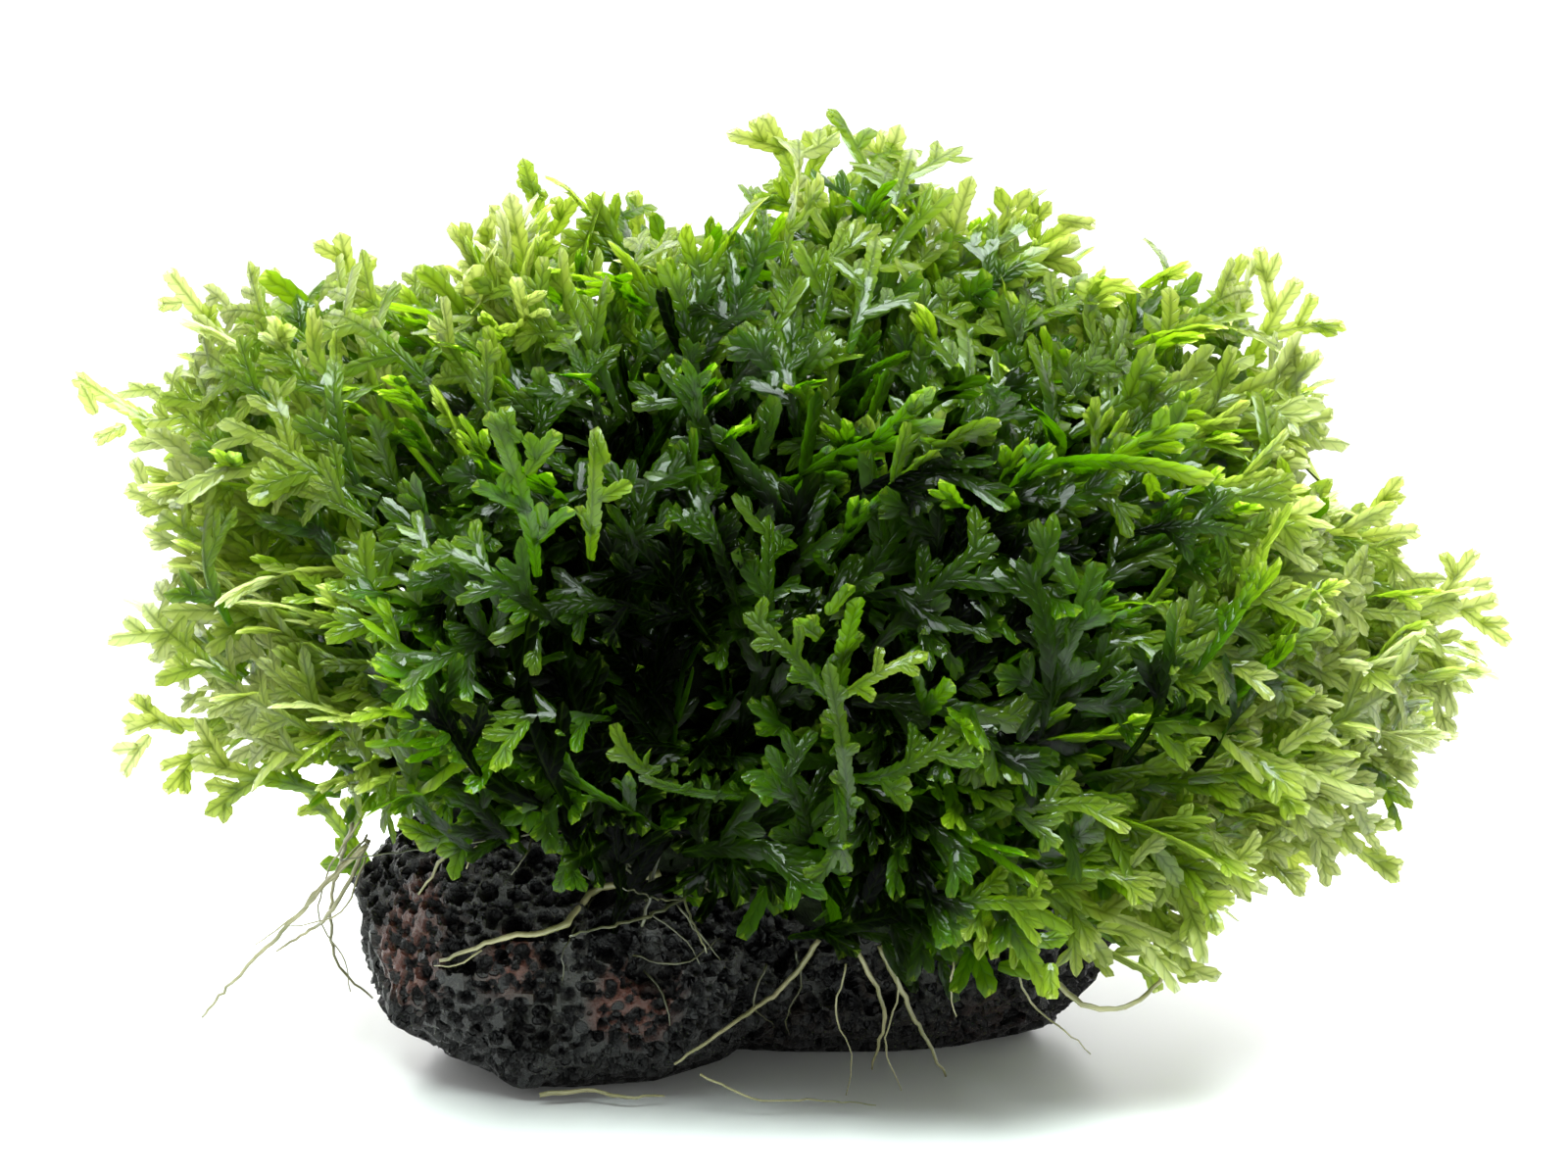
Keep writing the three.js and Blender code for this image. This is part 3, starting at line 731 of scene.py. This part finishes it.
# Fronds that show their flat side to the viewer: the tuft, the base, middle and tip of the stem, the
# spread of the side shoots, the roll in degrees, how old the tip looks, and the leaflets' scale.
FACE_ON = (
    ("tuft_front_left", (-11.6, -20.5, 34.2), (-11.6, -24, 39), (-12.4, -23.5, 44), 3.6, 8, 0.36, 1),
    ("tuft_front_left", (-8.6, -20.5, 35.2), (-8.2, -23.5, 38.8), (-7.2, -22.5, 42.6), 2.6, -16, 0.42, 1),
    ("tuft_front_right", (17.6, -19, 25), (18.2, -22.5, 30), (19.4, -21.5, 35.4), 3.2, 10, 0.5, 1),
    ("tuft_front_upper", (2.6, -19.5, 21.4), (-1.8, -23, 21.6), (-5, -23.6, 24.2), 0.9, 30, 0.72, 0.5),
    ("tuft_front_upper", (-4.6, -23.2, 23.6), (-6.2, -24, 23.4), (-7, -23.8, 26.4), 1.6, 40, 0.46, 0.8),
    ("tuft_front_left", (-7.8, -17.5, 21.6), (-9.6, -20.4, 19.4), (-10.8, -20.8, 15.8), 2.4, 15, 0.8, 0.66),
    ("tuft_front_left", (-10.6, -16.5, 19.4), (-13, -18.6, 19.2), (-16.2, -19.4, 18.2), 1.6, 30, 0.75, 0.66),
    ("tuft_front_upper", (6, -20, 16.5), (6.6, -24.8, 22), (4.9, -23, 29.6), 1.3, 8, 0.34, 0.85),
    ("tuft_front_right", (6.2, -21, 22.6), (9.4, -25, 23), (13.2, -23.4, 26.4), 3.0, -12, 0.42, 0.9),
    ("tuft_front_upper", (4.9, -22.5, 27.6), (3.2, -24.6, 30.6), (0.2, -23, 32.4), 2.0, 24, 0.38, 0.8),
    ("tuft_front_upper", (5.2, -22.5, 27.4), (8, -24.4, 29.8), (10.6, -23, 30.2), 1.8, -30, 0.42, 0.8),
    ("tuft_front_upper", (5.4, -22.8, 22.5), (6.4, -24.4, 19), (3.6, -24, 16.6), 1.8, 10, 0.42, 0.8),
)
# How these fronds twist, and how much older their bases look than their tips.
FACE_ON_HABIT = {"first_seed": 200, "rows": 3, "twist": 0.3, "base_older": 0.14}


# How much older a frond looks with its tip here, with the front's painted shade added, painted light
# where below zero; the growth is even all round the back.
def age_and_painted_shade(tip):
    rise = math.radians(CAMERA["elevation"])
    up = math.sin(rise) * tip[1] + math.cos(rise) * (tip[2] - CAMERA["target"][2])
    above = up - HEART["up"]
    tall = HEART["above"] if above > 0 else HEART["below"]
    across = tip[0] - HEART["across"] - HEART["slant"] * above
    # Painted shade in the front's dark heart and patches, painted light where the value is below zero.
    shade_and_age = np.interp(math.hypot(across / HEART["wide"], above / tall), *HEART_AGE_AND_SHADE)
    for at_x, at_up, wide, more in PAINTED_LIGHT_AND_SHADE:
        shade_and_age += more * math.exp(-((tip[0] - at_x) ** 2 + (up - at_up) ** 2) / wide**2)
    return shade_and_age * np.interp(unit(tip - CORE) @ TOWARDS_VIEWER, *FRONT_SHADE_AND_AGES)


def make_fronds():
    kinds = {}
    for kind, habit in KINDS.items():
        size = habit["length"], habit["spread"], habit["rows"], habit["sub_shoots"]
        kinds[kind] = [Frond(seed, *size) for seed in habit["seeds"]]
    return kinds


# The way that a frond's flat side faces.
def flat_side(heading, lean, along, mirrored, stray):
    front = max(0.0, heading @ TOWARDS_VIEWER)
    to_viewer = (1.0 - FACING["less"] * front) * mirrored * TOWARDS_VIEWER
    turned = to_viewer + FACING["up"] * front * UP + FACING["any"] * stray
    normal = unit(heading * math.sin(lean) + turned)
    facing = unit(normal - (normal @ along) * along)
    squarely = facing @ TOWARDS_VIEWER
    if front > FACING["front"] and abs(squarely) < FACING["edge_on"]:
        normal = facing + math.copysign(FACING["turned"], squarely) * TOWARDS_VIEWER
    return normal


def grow_layer(layer, fronds, moss, stone, chance, growths):
    for n in range(layer["tried"]):
        even = spread_heading(n, layer["tried"], HEADINGS["lowest"], HEADINGS["highest"])
        off = np.array([chance.uniform(-1, 1) for _ in range(3)])
        heading = unit(even + HEADINGS["stray"] * off)
        reach, owner = moss.outline(heading)
        share = chance.uniform(*layer["tips"])
        length = chance.uniform(*layer["length"])
        set_lean = np.interp(degrees_between(OPENING, heading), *LEAN)
        lean = math.radians(set_lean + chance.uniform(*HABIT["lean"]))
        from_bare = min(degrees_between(side, heading) + less for side, less in BARE_SIDES)
        bare = chance.random() < layer["bare"] * np.interp(from_bare, *BARE)
        wander = any_way(chance)
        stray = any_way(chance)
        tone = chance.random()
        twist = chance.uniform(*HABIT["twist"])
        mirrored = chance.choice((-1, 1))
        frond = chance.choice(fronds)
        crowded = chance.random() > (reach / EVEN_REACH) ** 2
        in_stone = reach * share < stone.reach(heading)[0] + HABIT["off_stone"]
        if owner is None or crowded or bare or in_stone:
            continue
        away = -(OPENING - (OPENING @ heading) * heading)
        sideways = wander - (wander @ heading) * heading
        droop = -UP * (HABIT["droop"] if heading[2] < HABIT["droops_below"] else 0.0)
        over = unit(away * HABIT["away"] + HABIT["sideways"] * sideways + droop)
        tip = CORE + heading * reach * share
        middle = tip - 0.5 * length * unit(heading * math.cos(lean) + over * math.sin(lean))
        base = middle - 0.5 * length * unit(heading * math.cos(lean / 3) + over * math.sin(lean / 3))
        normal = flat_side(heading, lean, unit(tip - base), mirrored, stray)
        points = laid(frond, base, middle, tip, normal, twist)
        points[:, 2] = np.maximum(points[:, 2], HABIT["lowest"])
        # Each layer's ages with the front's painted shade and light added, up to the oldest.
        tip_age_and_shade, base_age_and_shade = (min(age + age_and_painted_shade(tip), layer["oldest"]) for age in layer["age"])
        growths[owner].add(frond, points, tone, base_age_and_shade, tip_age_and_shade)


def grow_face_on(chance, growths):
    for n, (tuft, base, middle, tip, spread, roll, age, scale) in enumerate(FACE_ON):
        base, middle, tip = (np.array(p) for p in (base, middle, tip))
        length = bowed_length(base, middle, tip) / scale
        frond = Frond(FACE_ON_HABIT["first_seed"] + n, length, spread / scale, FACE_ON_HABIT["rows"])
        aside = np.cross(unit(tip - base), TOWARDS_VIEWER)
        normal = TOWARDS_VIEWER * math.cos(math.radians(roll)) + aside * math.sin(math.radians(roll))
        points = laid(frond, base, middle, tip, normal, FACE_ON_HABIT["twist"])
        growths[tuft].add(frond, points, chance.random(), age + FACE_ON_HABIT["base_older"], age)


def grow_tufts(finish):
    kinds = make_fronds()
    moss = Surface(TUFTS, SPRIGS)
    stone = Surface(["lava_stone"])
    chance = random.Random(SEEDS["tufts"])
    growths = {name: Growth() for name in TUFTS}
    for layer in LAYERS:
        grow_layer(layer, kinds[layer["kind"]], moss, stone, chance, growths)
    grow_face_on(chance, growths)
    for name, growth in growths.items():
        growth.piece("fronds_of_" + name, finish, "moss", name)


# The matted core: its reach as a share of the moss's, its least reach, its lumps and its lowest point.
MAT = {"reach": 0.62, "least": 6.0, "lump": 2.5, "lowest": 9.0}


# The matted old growth round the stone, which shows dark between the fronds; its all but black colour
# is painted shade.
def mat_core(finish):
    moss = Surface(TUFTS)
    bm = bmesh.new()
    bmesh.ops.create_icosphere(bm, subdivisions=6, radius=1)
    for v in bm.verts:
        heading = np.array(v.co)
        lump = MAT["lump"] * noise.fractal(v.co * 9, 0.7, 2.1, 4)
        v.co = Vector(CORE + heading * max(MAT["least"], moss.reach(heading)[0] * MAT["reach"] + lump))
        v.co.z = max(v.co.z, MAT["lowest"])
    bmesh.ops.scale(bm, verts=bm.verts, vec=(MM, MM, MM))
    mesh = bpy.data.meshes.new("matted_core")
    bm.to_mesh(mesh)
    bm.free()
    mesh.shade_smooth()
    set_down("matted_core", mesh, finish)


# Free fronds: how deep they are rooted beyond their node, how much of a node is its end and its
# middle, the least spread and the share of the node's breadth, how much they turn to the viewer, and
# their twist.
SPRIG = {"rooted": 4.5, "end": 1.0, "middle": 2, "least_spread": 2.2, "spread": 1.05, "rows": 3,
         "to_viewer": 1.3, "twist": (-0.3, 0.3), "first_seed": 100, "tone": 0.5}
# How old their bases and tips look at the least, and what is added there to the growth's age and
# painted shade; then how old both look before the opening.
SPRIG_AGES_AND_SHADE = {"base": (0.35, 0.25), "tip": (0.05, 0.18), "front": (0.62, 0.54)}


# Each sprig follows its node: from the end nearest the core to the farthest, flat the same way.
def grow_sprigs(finish):
    chance = random.Random(SEEDS["sprigs"])
    for n, name in enumerate(SPRIGS):
        points = node_points(name)
        distance = np.linalg.norm(points - CORE, axis=1)
        _, _, axes = np.linalg.svd(points - points.mean(0), full_matrices=False)
        normal = axes[2] if axes[2] @ TOWARDS_VIEWER > 0 else -axes[2]
        normal = unit(normal + SPRIG["to_viewer"] * TOWARDS_VIEWER)
        tip = points[distance > distance.max() - SPRIG["end"]].mean(0)
        foot = points[distance < distance.min() + SPRIG["end"]].mean(0)
        along = unit(tip - foot)
        base = foot - SPRIG["rooted"] * along
        half_way = points[np.abs(distance - distance.mean()) < SPRIG["middle"]].mean(0)
        middle = (half_way + (base + tip) / 2) / 2
        breadth = np.abs((points - foot) @ np.cross(along, normal)).max()
        spread = max(SPRIG["least_spread"], SPRIG["spread"] * breadth)
        frond = Frond(SPRIG["first_seed"] + n, np.linalg.norm(tip - base), spread, SPRIG["rows"])
        # Ages with the front's painted shade and painted light added.
        ages_and_shade = [least + max(0.0, age_and_painted_shade(place) + more)
                for place, (least, more) in ((base, SPRIG_AGES_AND_SHADE["base"]), (tip, SPRIG_AGES_AND_SHADE["tip"]))]
        if name in FRONT_SPRIGS:
            ages_and_shade = SPRIG_AGES_AND_SHADE["front"]
        growth = Growth()
        lie = laid(frond, base, middle, tip, normal, chance.uniform(*SPRIG["twist"]))
        growth.add(frond, lie, SPRIG["tone"], *ages_and_shade)
        growth.piece("frond_of_" + name, finish, "frond", name)


# The stone's fine surface: the size of its cells, and how rough it is where it is clear of the floor.
STONE = {"voxel": 0.235, "rough": 0.35, "rough_from": 1.5}
# Round pores of three sizes: how many places are tried, their radii, and their depth in radii.
PORES = (
    {"tried": 30, "radii": (0.9, 1.8), "depth": 0.9},
    {"tried": 6500, "radii": (0.36, 0.62), "depth": 1.5},
    {"tried": 9000, "radii": (0.22, 0.34), "depth": 1.4},
)
# How near pores stand to each other and to the floor, in radii, and how far each reaches.
PORE = {"apart": 0.92, "off_floor": 0.6, "reach": 1.05}


# The node's form as an even fine mesh.
def fine_form(name, cell):
    bm = bmesh.new()
    bm.from_mesh(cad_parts[name].data)
    bmesh.ops.remove_doubles(bm, verts=bm.verts, dist=1e-6)
    mesh = bpy.data.meshes.new(name + "_form")
    bm.to_mesh(mesh)
    bm.free()
    form = bpy.data.objects.new(name + "_form", mesh)
    bpy.context.scene.collection.objects.link(form)
    remesh = form.modifiers.new("remesh", "REMESH")
    remesh.mode = "VOXEL"
    remesh.voxel_size = cell * MM
    graph = bpy.context.evaluated_depsgraph_get()
    fine = bpy.data.meshes.new_from_object(form.evaluated_get(graph))
    bpy.data.objects.remove(form)
    return fine


# Places for pores that don't run into each other, with their radii, kept in a coarse grid of cells.
def pore_places(points, pores, chance):
    places, cells = [], {}
    cell_size = 2 * pores["radii"][1]
    for _ in range(pores["tried"]):
        i = chance.randrange(len(points))
        radius = chance.uniform(*pores["radii"])
        if points[i, 2] < radius * PORE["off_floor"]:
            continue
        cell = tuple((points[i] // cell_size).astype(int))
        near = [place for dx in (-1, 0, 1) for dy in (-1, 0, 1) for dz in (-1, 0, 1)
                for place in cells.get((cell[0] + dx, cell[1] + dy, cell[2] + dz), ())]
        if any(np.linalg.norm(points[i] - points[j]) < PORE["apart"] * (radius + other) for j, other in near):
            continue
        cells.setdefault(cell, []).append((i, radius))
        places.append((i, radius))
    return places


# Presses the pores in and returns the moved points; pit gets each point's share of a pore's depth.
def press_pores(points, normals, pit, pores, chance):
    tree = KDTree(len(points))
    for i, point in enumerate(points):
        tree.insert(point, i)
    tree.balance()
    moved = points.copy()
    for i, radius in pore_places(points, pores, chance):
        near = np.array([index for _, index, _ in tree.find_range(points[i], radius * PORE["reach"])])
        offset = points[near] - points[i]
        flat = offset - (offset @ normals[i])[:, None] * normals[i]
        share = np.clip(np.linalg.norm(flat, axis=1) / radius, 0, 1)
        bowl = np.sqrt(1 - share**2)
        moved[near] -= normals[i] * (pores["depth"] * radius * bowl)[:, None]
        pit[near] = np.maximum(pit[near], bowl)
    return moved


# The stone: the node's own form with many round pores pressed into a fine surface.
def dress_stone(finish):
    fine = fine_form("lava_stone", STONE["voxel"])
    count = len(fine.vertices)
    points, normals = np.empty(count * 3), np.empty(count * 3)
    fine.vertices.foreach_get("co", points)
    fine.vertices.foreach_get("normal", normals)
    points, normals = points.reshape(-1, 3) / MM, normals.reshape(-1, 3)
    rough = np.array([noise.fractal(Vector(p) * 0.35, 0.9, 2.1, 3) for p in points])
    off_floor = np.clip(points[:, 2] / STONE["rough_from"], 0, 1)
    points += normals * (rough * STONE["rough"] * off_floor)[:, None]
    pit = np.zeros(count)
    chance = random.Random(SEEDS["pores"])
    for pores in PORES:
        points = press_pores(points, normals, pit, pores, chance)
    points[:, 2] = np.maximum(points[:, 2], 0)
    fine.vertices.foreach_set("co", (points * MM).ravel())
    fine.attributes.new("pit", "FLOAT", "POINT").data.foreach_set("value", pit)
    fine.update()
    fine.shade_smooth()
    fine.set_sharp_from_angle(angle=math.radians(SHARP_FROM["stone"]))
    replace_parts(set_down("porous_stone", fine, finish), "lava_stone")


# Roots: thickness and the points that each passes. A point with no depth lies on the stone's front.
ROOTS = {
    "root_long_left": (0.42, (
        (-23.3, -6, 14.6), (-26.1, -5.6, 11.9), (-29, -4.4, 8.5), (-32, -2.6, 5.2), (-34.8, 0, 1.6))),
    "root_left_inner": (0.4, (
        (-23.6, -2.5, 14), (-25.7, -2, 9.8), (-27.5, 0, 7.6), (-30.2, 2, 5.4))),
    "root_left_curling": (0.36, (
        (-25.4, 4, 13.4), (-27, 5.5, 8.2), (-26.9, 6, 3.6), (-24.6, 6.3, 0.9))),
    "root_across_stone": (0.62, (
        (-5, 14.6), (-7.4, 13.9), (-9, 13.4), (-10.9, 12), (-14.5, 11.2), (-18.2, 9.5))),
    "root_stone_edge": (0.36, (
        (-17.2, 15.6), (-18.3, 14.9), (-18.9, 13.8), (-19.8, 12.5))),
    "root_front_long": (0.46, (
        (4.6, 9.4), (2.4, 6.4), (-1.6, 4.4), (-4.2, 2.6))),
    "root_front_floor": (0.4, (
        (-12.4, -12.6, 0.65), (-9.6, -12.3, 0.85), (-7.1, -13, 0.65), (-4.8, -12.6, 0.6))),
    "root_front_right": (0.46, (
        (8.3, -10.2, 9.4), (10.3, -9.8, 5), (12.4, -9.8, 0.9))),
    "root_front_middle": (0.4, (
        (6.9, -10, 9), (8.6, -9.2, 5), (7.9, -8.4, 0.9))),
    "root_loop_right": (0.5, (
        (17.6, -16, 9.8), (20.1, -17, 7.9), (22.6, -17, 7.6), (24.8, -16, 9), (25.7, -15, 12))),
}
# Finer roots beside the stone and under the overhang, in the same form.
FINE_ROOTS = (
    (0.22, ((-14.3, 16.6), (-16.1, 15.8), (-16.7, 14.6))),
    (0.18, ((-15.6, 10.4), (-17.2, 9.4), (-18.6, 9))),
    (0.2, ((-23.4, -5, 15), (-25.6, -6.5, 12.6), (-27.4, -6.8, 10.6), (-30.4, -6, 8.2))),
    (0.18, ((-24.4, 0, 14.6), (-26.6, 0.6, 11), (-27.2, 0.2, 8), (-25.8, 0.4, 5.6), (-25.4, 1, 3))),
    (0.18, ((-23.6, -4, 13.4), (-24.6, -4.4, 10.8), (-25.8, -4, 9.4), (-28.8, -3.4, 8.6))),
    (0.2, ((9, -10.6, 9.4), (9.4, -10.6, 6.4), (8.6, -11.4, 3.4), (9.6, -12.2, 0.8))),
    (0.18, ((6.2, -11.4, 8.6), (5.6, -11.6, 5.6), (6.6, -12, 3), (6.2, -12.8, 0.7))),
    (0.18, ((12.6, -14, 9.6), (12.4, -14.2, 7.6), (12.8, -14.4, 6.2))),
    (0.2, ((-2.6, -14.4, 2.6), (0.6, -14.8, 1.2), (4.4, -14.2, 0.9), (8, -14.6, 0.7))),
    (0.2, ((16.4, -12.6, 9), (17.4, -12.8, 6.6), (19.4, -13.4, 5), (21, -13, 3.4))),
)
# Old stems over the stone, in the same form.
OLD_STEMS = (
    (0.24, ((-12, -8.5, 18.4), (-12.9, 16), (-13.9, 14.6))),
    (0.22, ((-7.8, 17), (-6.4, 15.4), (-5.5, 14.4))),
    (0.2, ((-10.1, 15), (-8.7, 13.5))),
    (0.22, ((-3, 16.9), (-4.6, 15.5), (-6.2, 14.4))),
    (0.22, ((-4, 13), (-2.9, 11.4), (-1.4, 9.4))),
    (0.2, ((-6.4, -9.5, 18.6), (-6.9, 16.6), (-6, 15.4))),
    (0.22, ((-4.4, -9.5, 18.6), (-3.4, 16.6), (-2.9, 15.2))),
    (0.18, ((-9, 13), (-10.6, 10.6), (-10.8, 8.6))),
    (0.18, ((-5.6, 12.6), (-3.4, 10.8), (-2.6, 9.4))),
    (0.18, ((-6.6, 9.8), (-3.6, 9.6), (-1.4, 10.6))),
    (0.2, ((1.4, 8.2), (0.6, 5.8), (1.8, 3.6))),
    (0.2, ((3.2, 8.6), (3.6, 6.2), (2.6, 4.2), (2.8, 2.4))),
    (0.2, ((-6, 8.6), (-4.8, 7.4), (-4.4, 5.6))),
)


# More old stems behind the opening: how many are tried, how they scatter, how far they stand off the
# stone, how much they bow, how thick they are, and how high all of one has to be.
INNER_STEMS = {"tried": 60, "scatter": 0.3, "spread": 0.35, "foot": 1, "head": (5, 12), "bow": 0.8,
               "thickness": (0.2, 0.34), "above": 12}
# Strands: how far apart their points are, how they kink, how often and how much they swell, their
# radius in thicknesses, how much of it the tip loses, and how far they lie off the stone.
STRAND = {"step": 0.5, "kink": 0.05, "knots": 0.2, "knot": (0.85, 1.25), "radius": 0.4, "taper": 0.55,
          "off_stone": 0.35}


# A place on the smooth line between b and c, on the way from a to d.
def smooth_step(a, b, c, d, t):
    return b + 0.5 * t * (c - a + t * (2 * a - 5 * b + 4 * c - d + t * (3 * b - a - 3 * c + d)))


# The points of a strand from its stops, with small kinks, and its radius at each.
def strand_path(thickness, stops, stone, chance):
    ends = []
    for stop in stops:
        if len(stop) == 2:
            x, z = stop
            stop = (x, stone.front(x, z).y - STRAND["off_stone"] - thickness, z)
        ends.append(np.array(stop, float))
    ends = [2 * ends[0] - ends[1]] + ends + [2 * ends[-1] - ends[-2]]
    path = []
    for a, b, c, d in zip(ends, ends[1:], ends[2:], ends[3:]):
        steps = max(3, int(np.linalg.norm(c - b) / STRAND["step"]))
        path += [smooth_step(a, b, c, d, k / steps) for k in range(steps)]
    path = np.array(path + [ends[-2]])
    path[1:-1] += np.array([[chance.gauss(0, STRAND["kink"]) for _ in range(3)] for _ in path[1:-1]])
    share = np.linspace(0, 1, len(path))
    knots = [chance.uniform(*STRAND["knot"]) if chance.random() < STRAND["knots"] else 1 for _ in share]
    return path, STRAND["radius"] * thickness * (1 - STRAND["taper"] * share**1.5) * np.array(knots)


# Round tapered strands with closed ends, joined in one piece.
def grow_strands(name, strands, stone, chance, finish):
    curve = bpy.data.curves.new(name, "CURVE")
    curve.dimensions = "3D"
    curve.bevel_depth = MM
    curve.bevel_resolution = 2
    curve.use_fill_caps = True
    for thickness, stops in strands:
        path, radii = strand_path(thickness, stops, stone, chance)
        spline = curve.splines.new("POLY")
        spline.points.add(len(path) - 1)
        for point, place, radius in zip(spline.points, path, radii):
            point.co = (*(place * MM), 1)
            point.radius = radius
    route = bpy.data.objects.new(name + "_route", curve)
    bpy.context.scene.collection.objects.link(route)
    graph = bpy.context.evaluated_depsgraph_get()
    mesh = bpy.data.meshes.new_from_object(route.evaluated_get(graph))
    bpy.data.objects.remove(route)
    bm = bmesh.new()
    bm.from_mesh(mesh)
    bmesh.ops.remove_doubles(bm, verts=bm.verts, dist=1e-7)
    bmesh.ops.recalc_face_normals(bm, faces=bm.faces)
    bm.to_mesh(mesh)
    bm.free()
    mesh.shade_smooth()
    return set_down(name, mesh, finish)


def inner_stems(stone, chance):
    stems = []
    for _ in range(INNER_STEMS["tried"]):
        foot = unit(OPENING + BARE_BELOW_LEFT + INNER_STEMS["scatter"] * any_way(chance))
        head = unit(foot + INNER_STEMS["spread"] * any_way(chance))
        start = CORE + foot * (stone.reach(foot)[0] + INNER_STEMS["foot"])
        end = CORE + head * (stone.reach(head)[0] + chance.uniform(*INNER_STEMS["head"]))
        bow = [chance.gauss(0, INNER_STEMS["bow"]) for _ in range(3)]
        stops = (start, (start + end) / 2 + bow, end)
        if min(stop[2] for stop in stops) > INNER_STEMS["above"]:
            stems.append((chance.uniform(*INNER_STEMS["thickness"]), stops))
    return stems


def grow_roots():
    stone = Surface(["lava_stone"])
    chance = random.Random(SEEDS["roots"])
    pale = root_finish("pale_root", (0.36, 0.33, 0.17), (0.17, 0.17, 0.06))
    olive = root_finish("olive_stem", (0.075, 0.075, 0.03), (0.03, 0.034, 0.012))
    for name, root in ROOTS.items():
        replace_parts(grow_strands("living_" + name, [root], stone, chance, pale), name)
    grow_strands("fine_roots", FINE_ROOTS, stone, chance, pale)
    grow_strands("old_stems", list(OLD_STEMS) + inner_stems(stone, chance), stone, chance, olive)


# The floor, in metres: its half width, how far it lies under the object so that the two don't share a
# face, and the middle of the round pale part. Then how bright the white beyond it is.
FLOOR = {"half": 3, "under": 0.00005, "middle": (0, 0.012, 0), "white": 1.2}
# How bright the room is by how far back one looks, and how strongly it lights.
ROOM = {"levels": ((0.0, 0.2), (0.5, 0.17), (0.76, 1.0), (1.0, 1.0)), "strength": 3.0}
# The light above, in metres and watts.
SOFTBOX = {"place": (-0.01, -0.12, 0.39), "target": (0, 0, 0.02), "size": 0.27, "power": 5.2,
           "colour": (0.88, 1, 0.97)}


# A pale floor, white beyond the soft shadow.
def set_up_stage():
    bm = bmesh.new()
    bmesh.ops.create_grid(bm, x_segments=1, y_segments=1, size=FLOOR["half"])
    mesh = bpy.data.meshes.new("floor")
    bm.to_mesh(mesh)
    bm.free()
    floor = bpy.data.objects.new("floor", mesh)
    floor.location = (0, 0, -FLOOR["under"])
    bpy.context.scene.collection.objects.link(floor)
    material, f = new_finish("pale_floor")
    from_middle = f.distance(f.place(), FLOOR["middle"])
    far = f.ramp(from_middle * 2.5, (0.11, 0.0), (0.25, 0.3), (0.62, 1.0))
    pale = f.skin(
        {
            "Base Color": (0.82, 0.83, 0.82, 1),
            "Roughness": 0.3,
            "Specular IOR Level": 0.35,
            "Emission Color": (0.96, 1, 0.94, 1),
            "Emission Strength": 0.02,
        }
    )
    white = f.node("ShaderNodeEmission", None, {"Color": (1, 1, 1, 1), "Strength": FLOOR["white"]})
    f.surface(f.mix(far, pale, white))
    mesh.materials.append(material)


def set_up_light():
    world = bpy.data.worlds.new("studio")
    bpy.context.scene.world = world
    world.use_nodes = True
    w = Finish(world.node_tree)
    heading = w.node("ShaderNodeTexCoord", output="Generated")
    back = {0: heading, 1: (0, 1, 0)}
    facing = w.node("ShaderNodeVectorMath", {"operation": "DOT_PRODUCT"}, back, "Value")
    level = w.ramp(facing * 0.5 + 0.5, *ROOM["levels"])
    sky = w.node("ShaderNodeBackground", None, {"Color": level, "Strength": ROOM["strength"]})
    w.node("ShaderNodeOutputWorld", None, {"Surface": sky})

    data = bpy.data.lights.new("softbox_above", "AREA")
    data.shape = "SQUARE"
    data.size = SOFTBOX["size"]
    data.color = SOFTBOX["colour"]
    data.energy = SOFTBOX["power"]
    light = bpy.data.objects.new("softbox_above", data)
    light.location = SOFTBOX["place"]
    away = Vector(SOFTBOX["place"]) - Vector(SOFTBOX["target"])
    light.rotation_euler = away.to_track_quat("Z", "Y").to_euler()
    bpy.context.scene.collection.objects.link(light)
    bpy.context.scene.view_settings.view_transform = "Standard"


set_up_camera()
set_up_stage()
set_up_light()
wet_leaf = leaf_finish()
grow_tufts(wet_leaf)
mat_core(mat_finish())
grow_sprigs(wet_leaf)
dress_stone(stone_finish())
grow_roots()
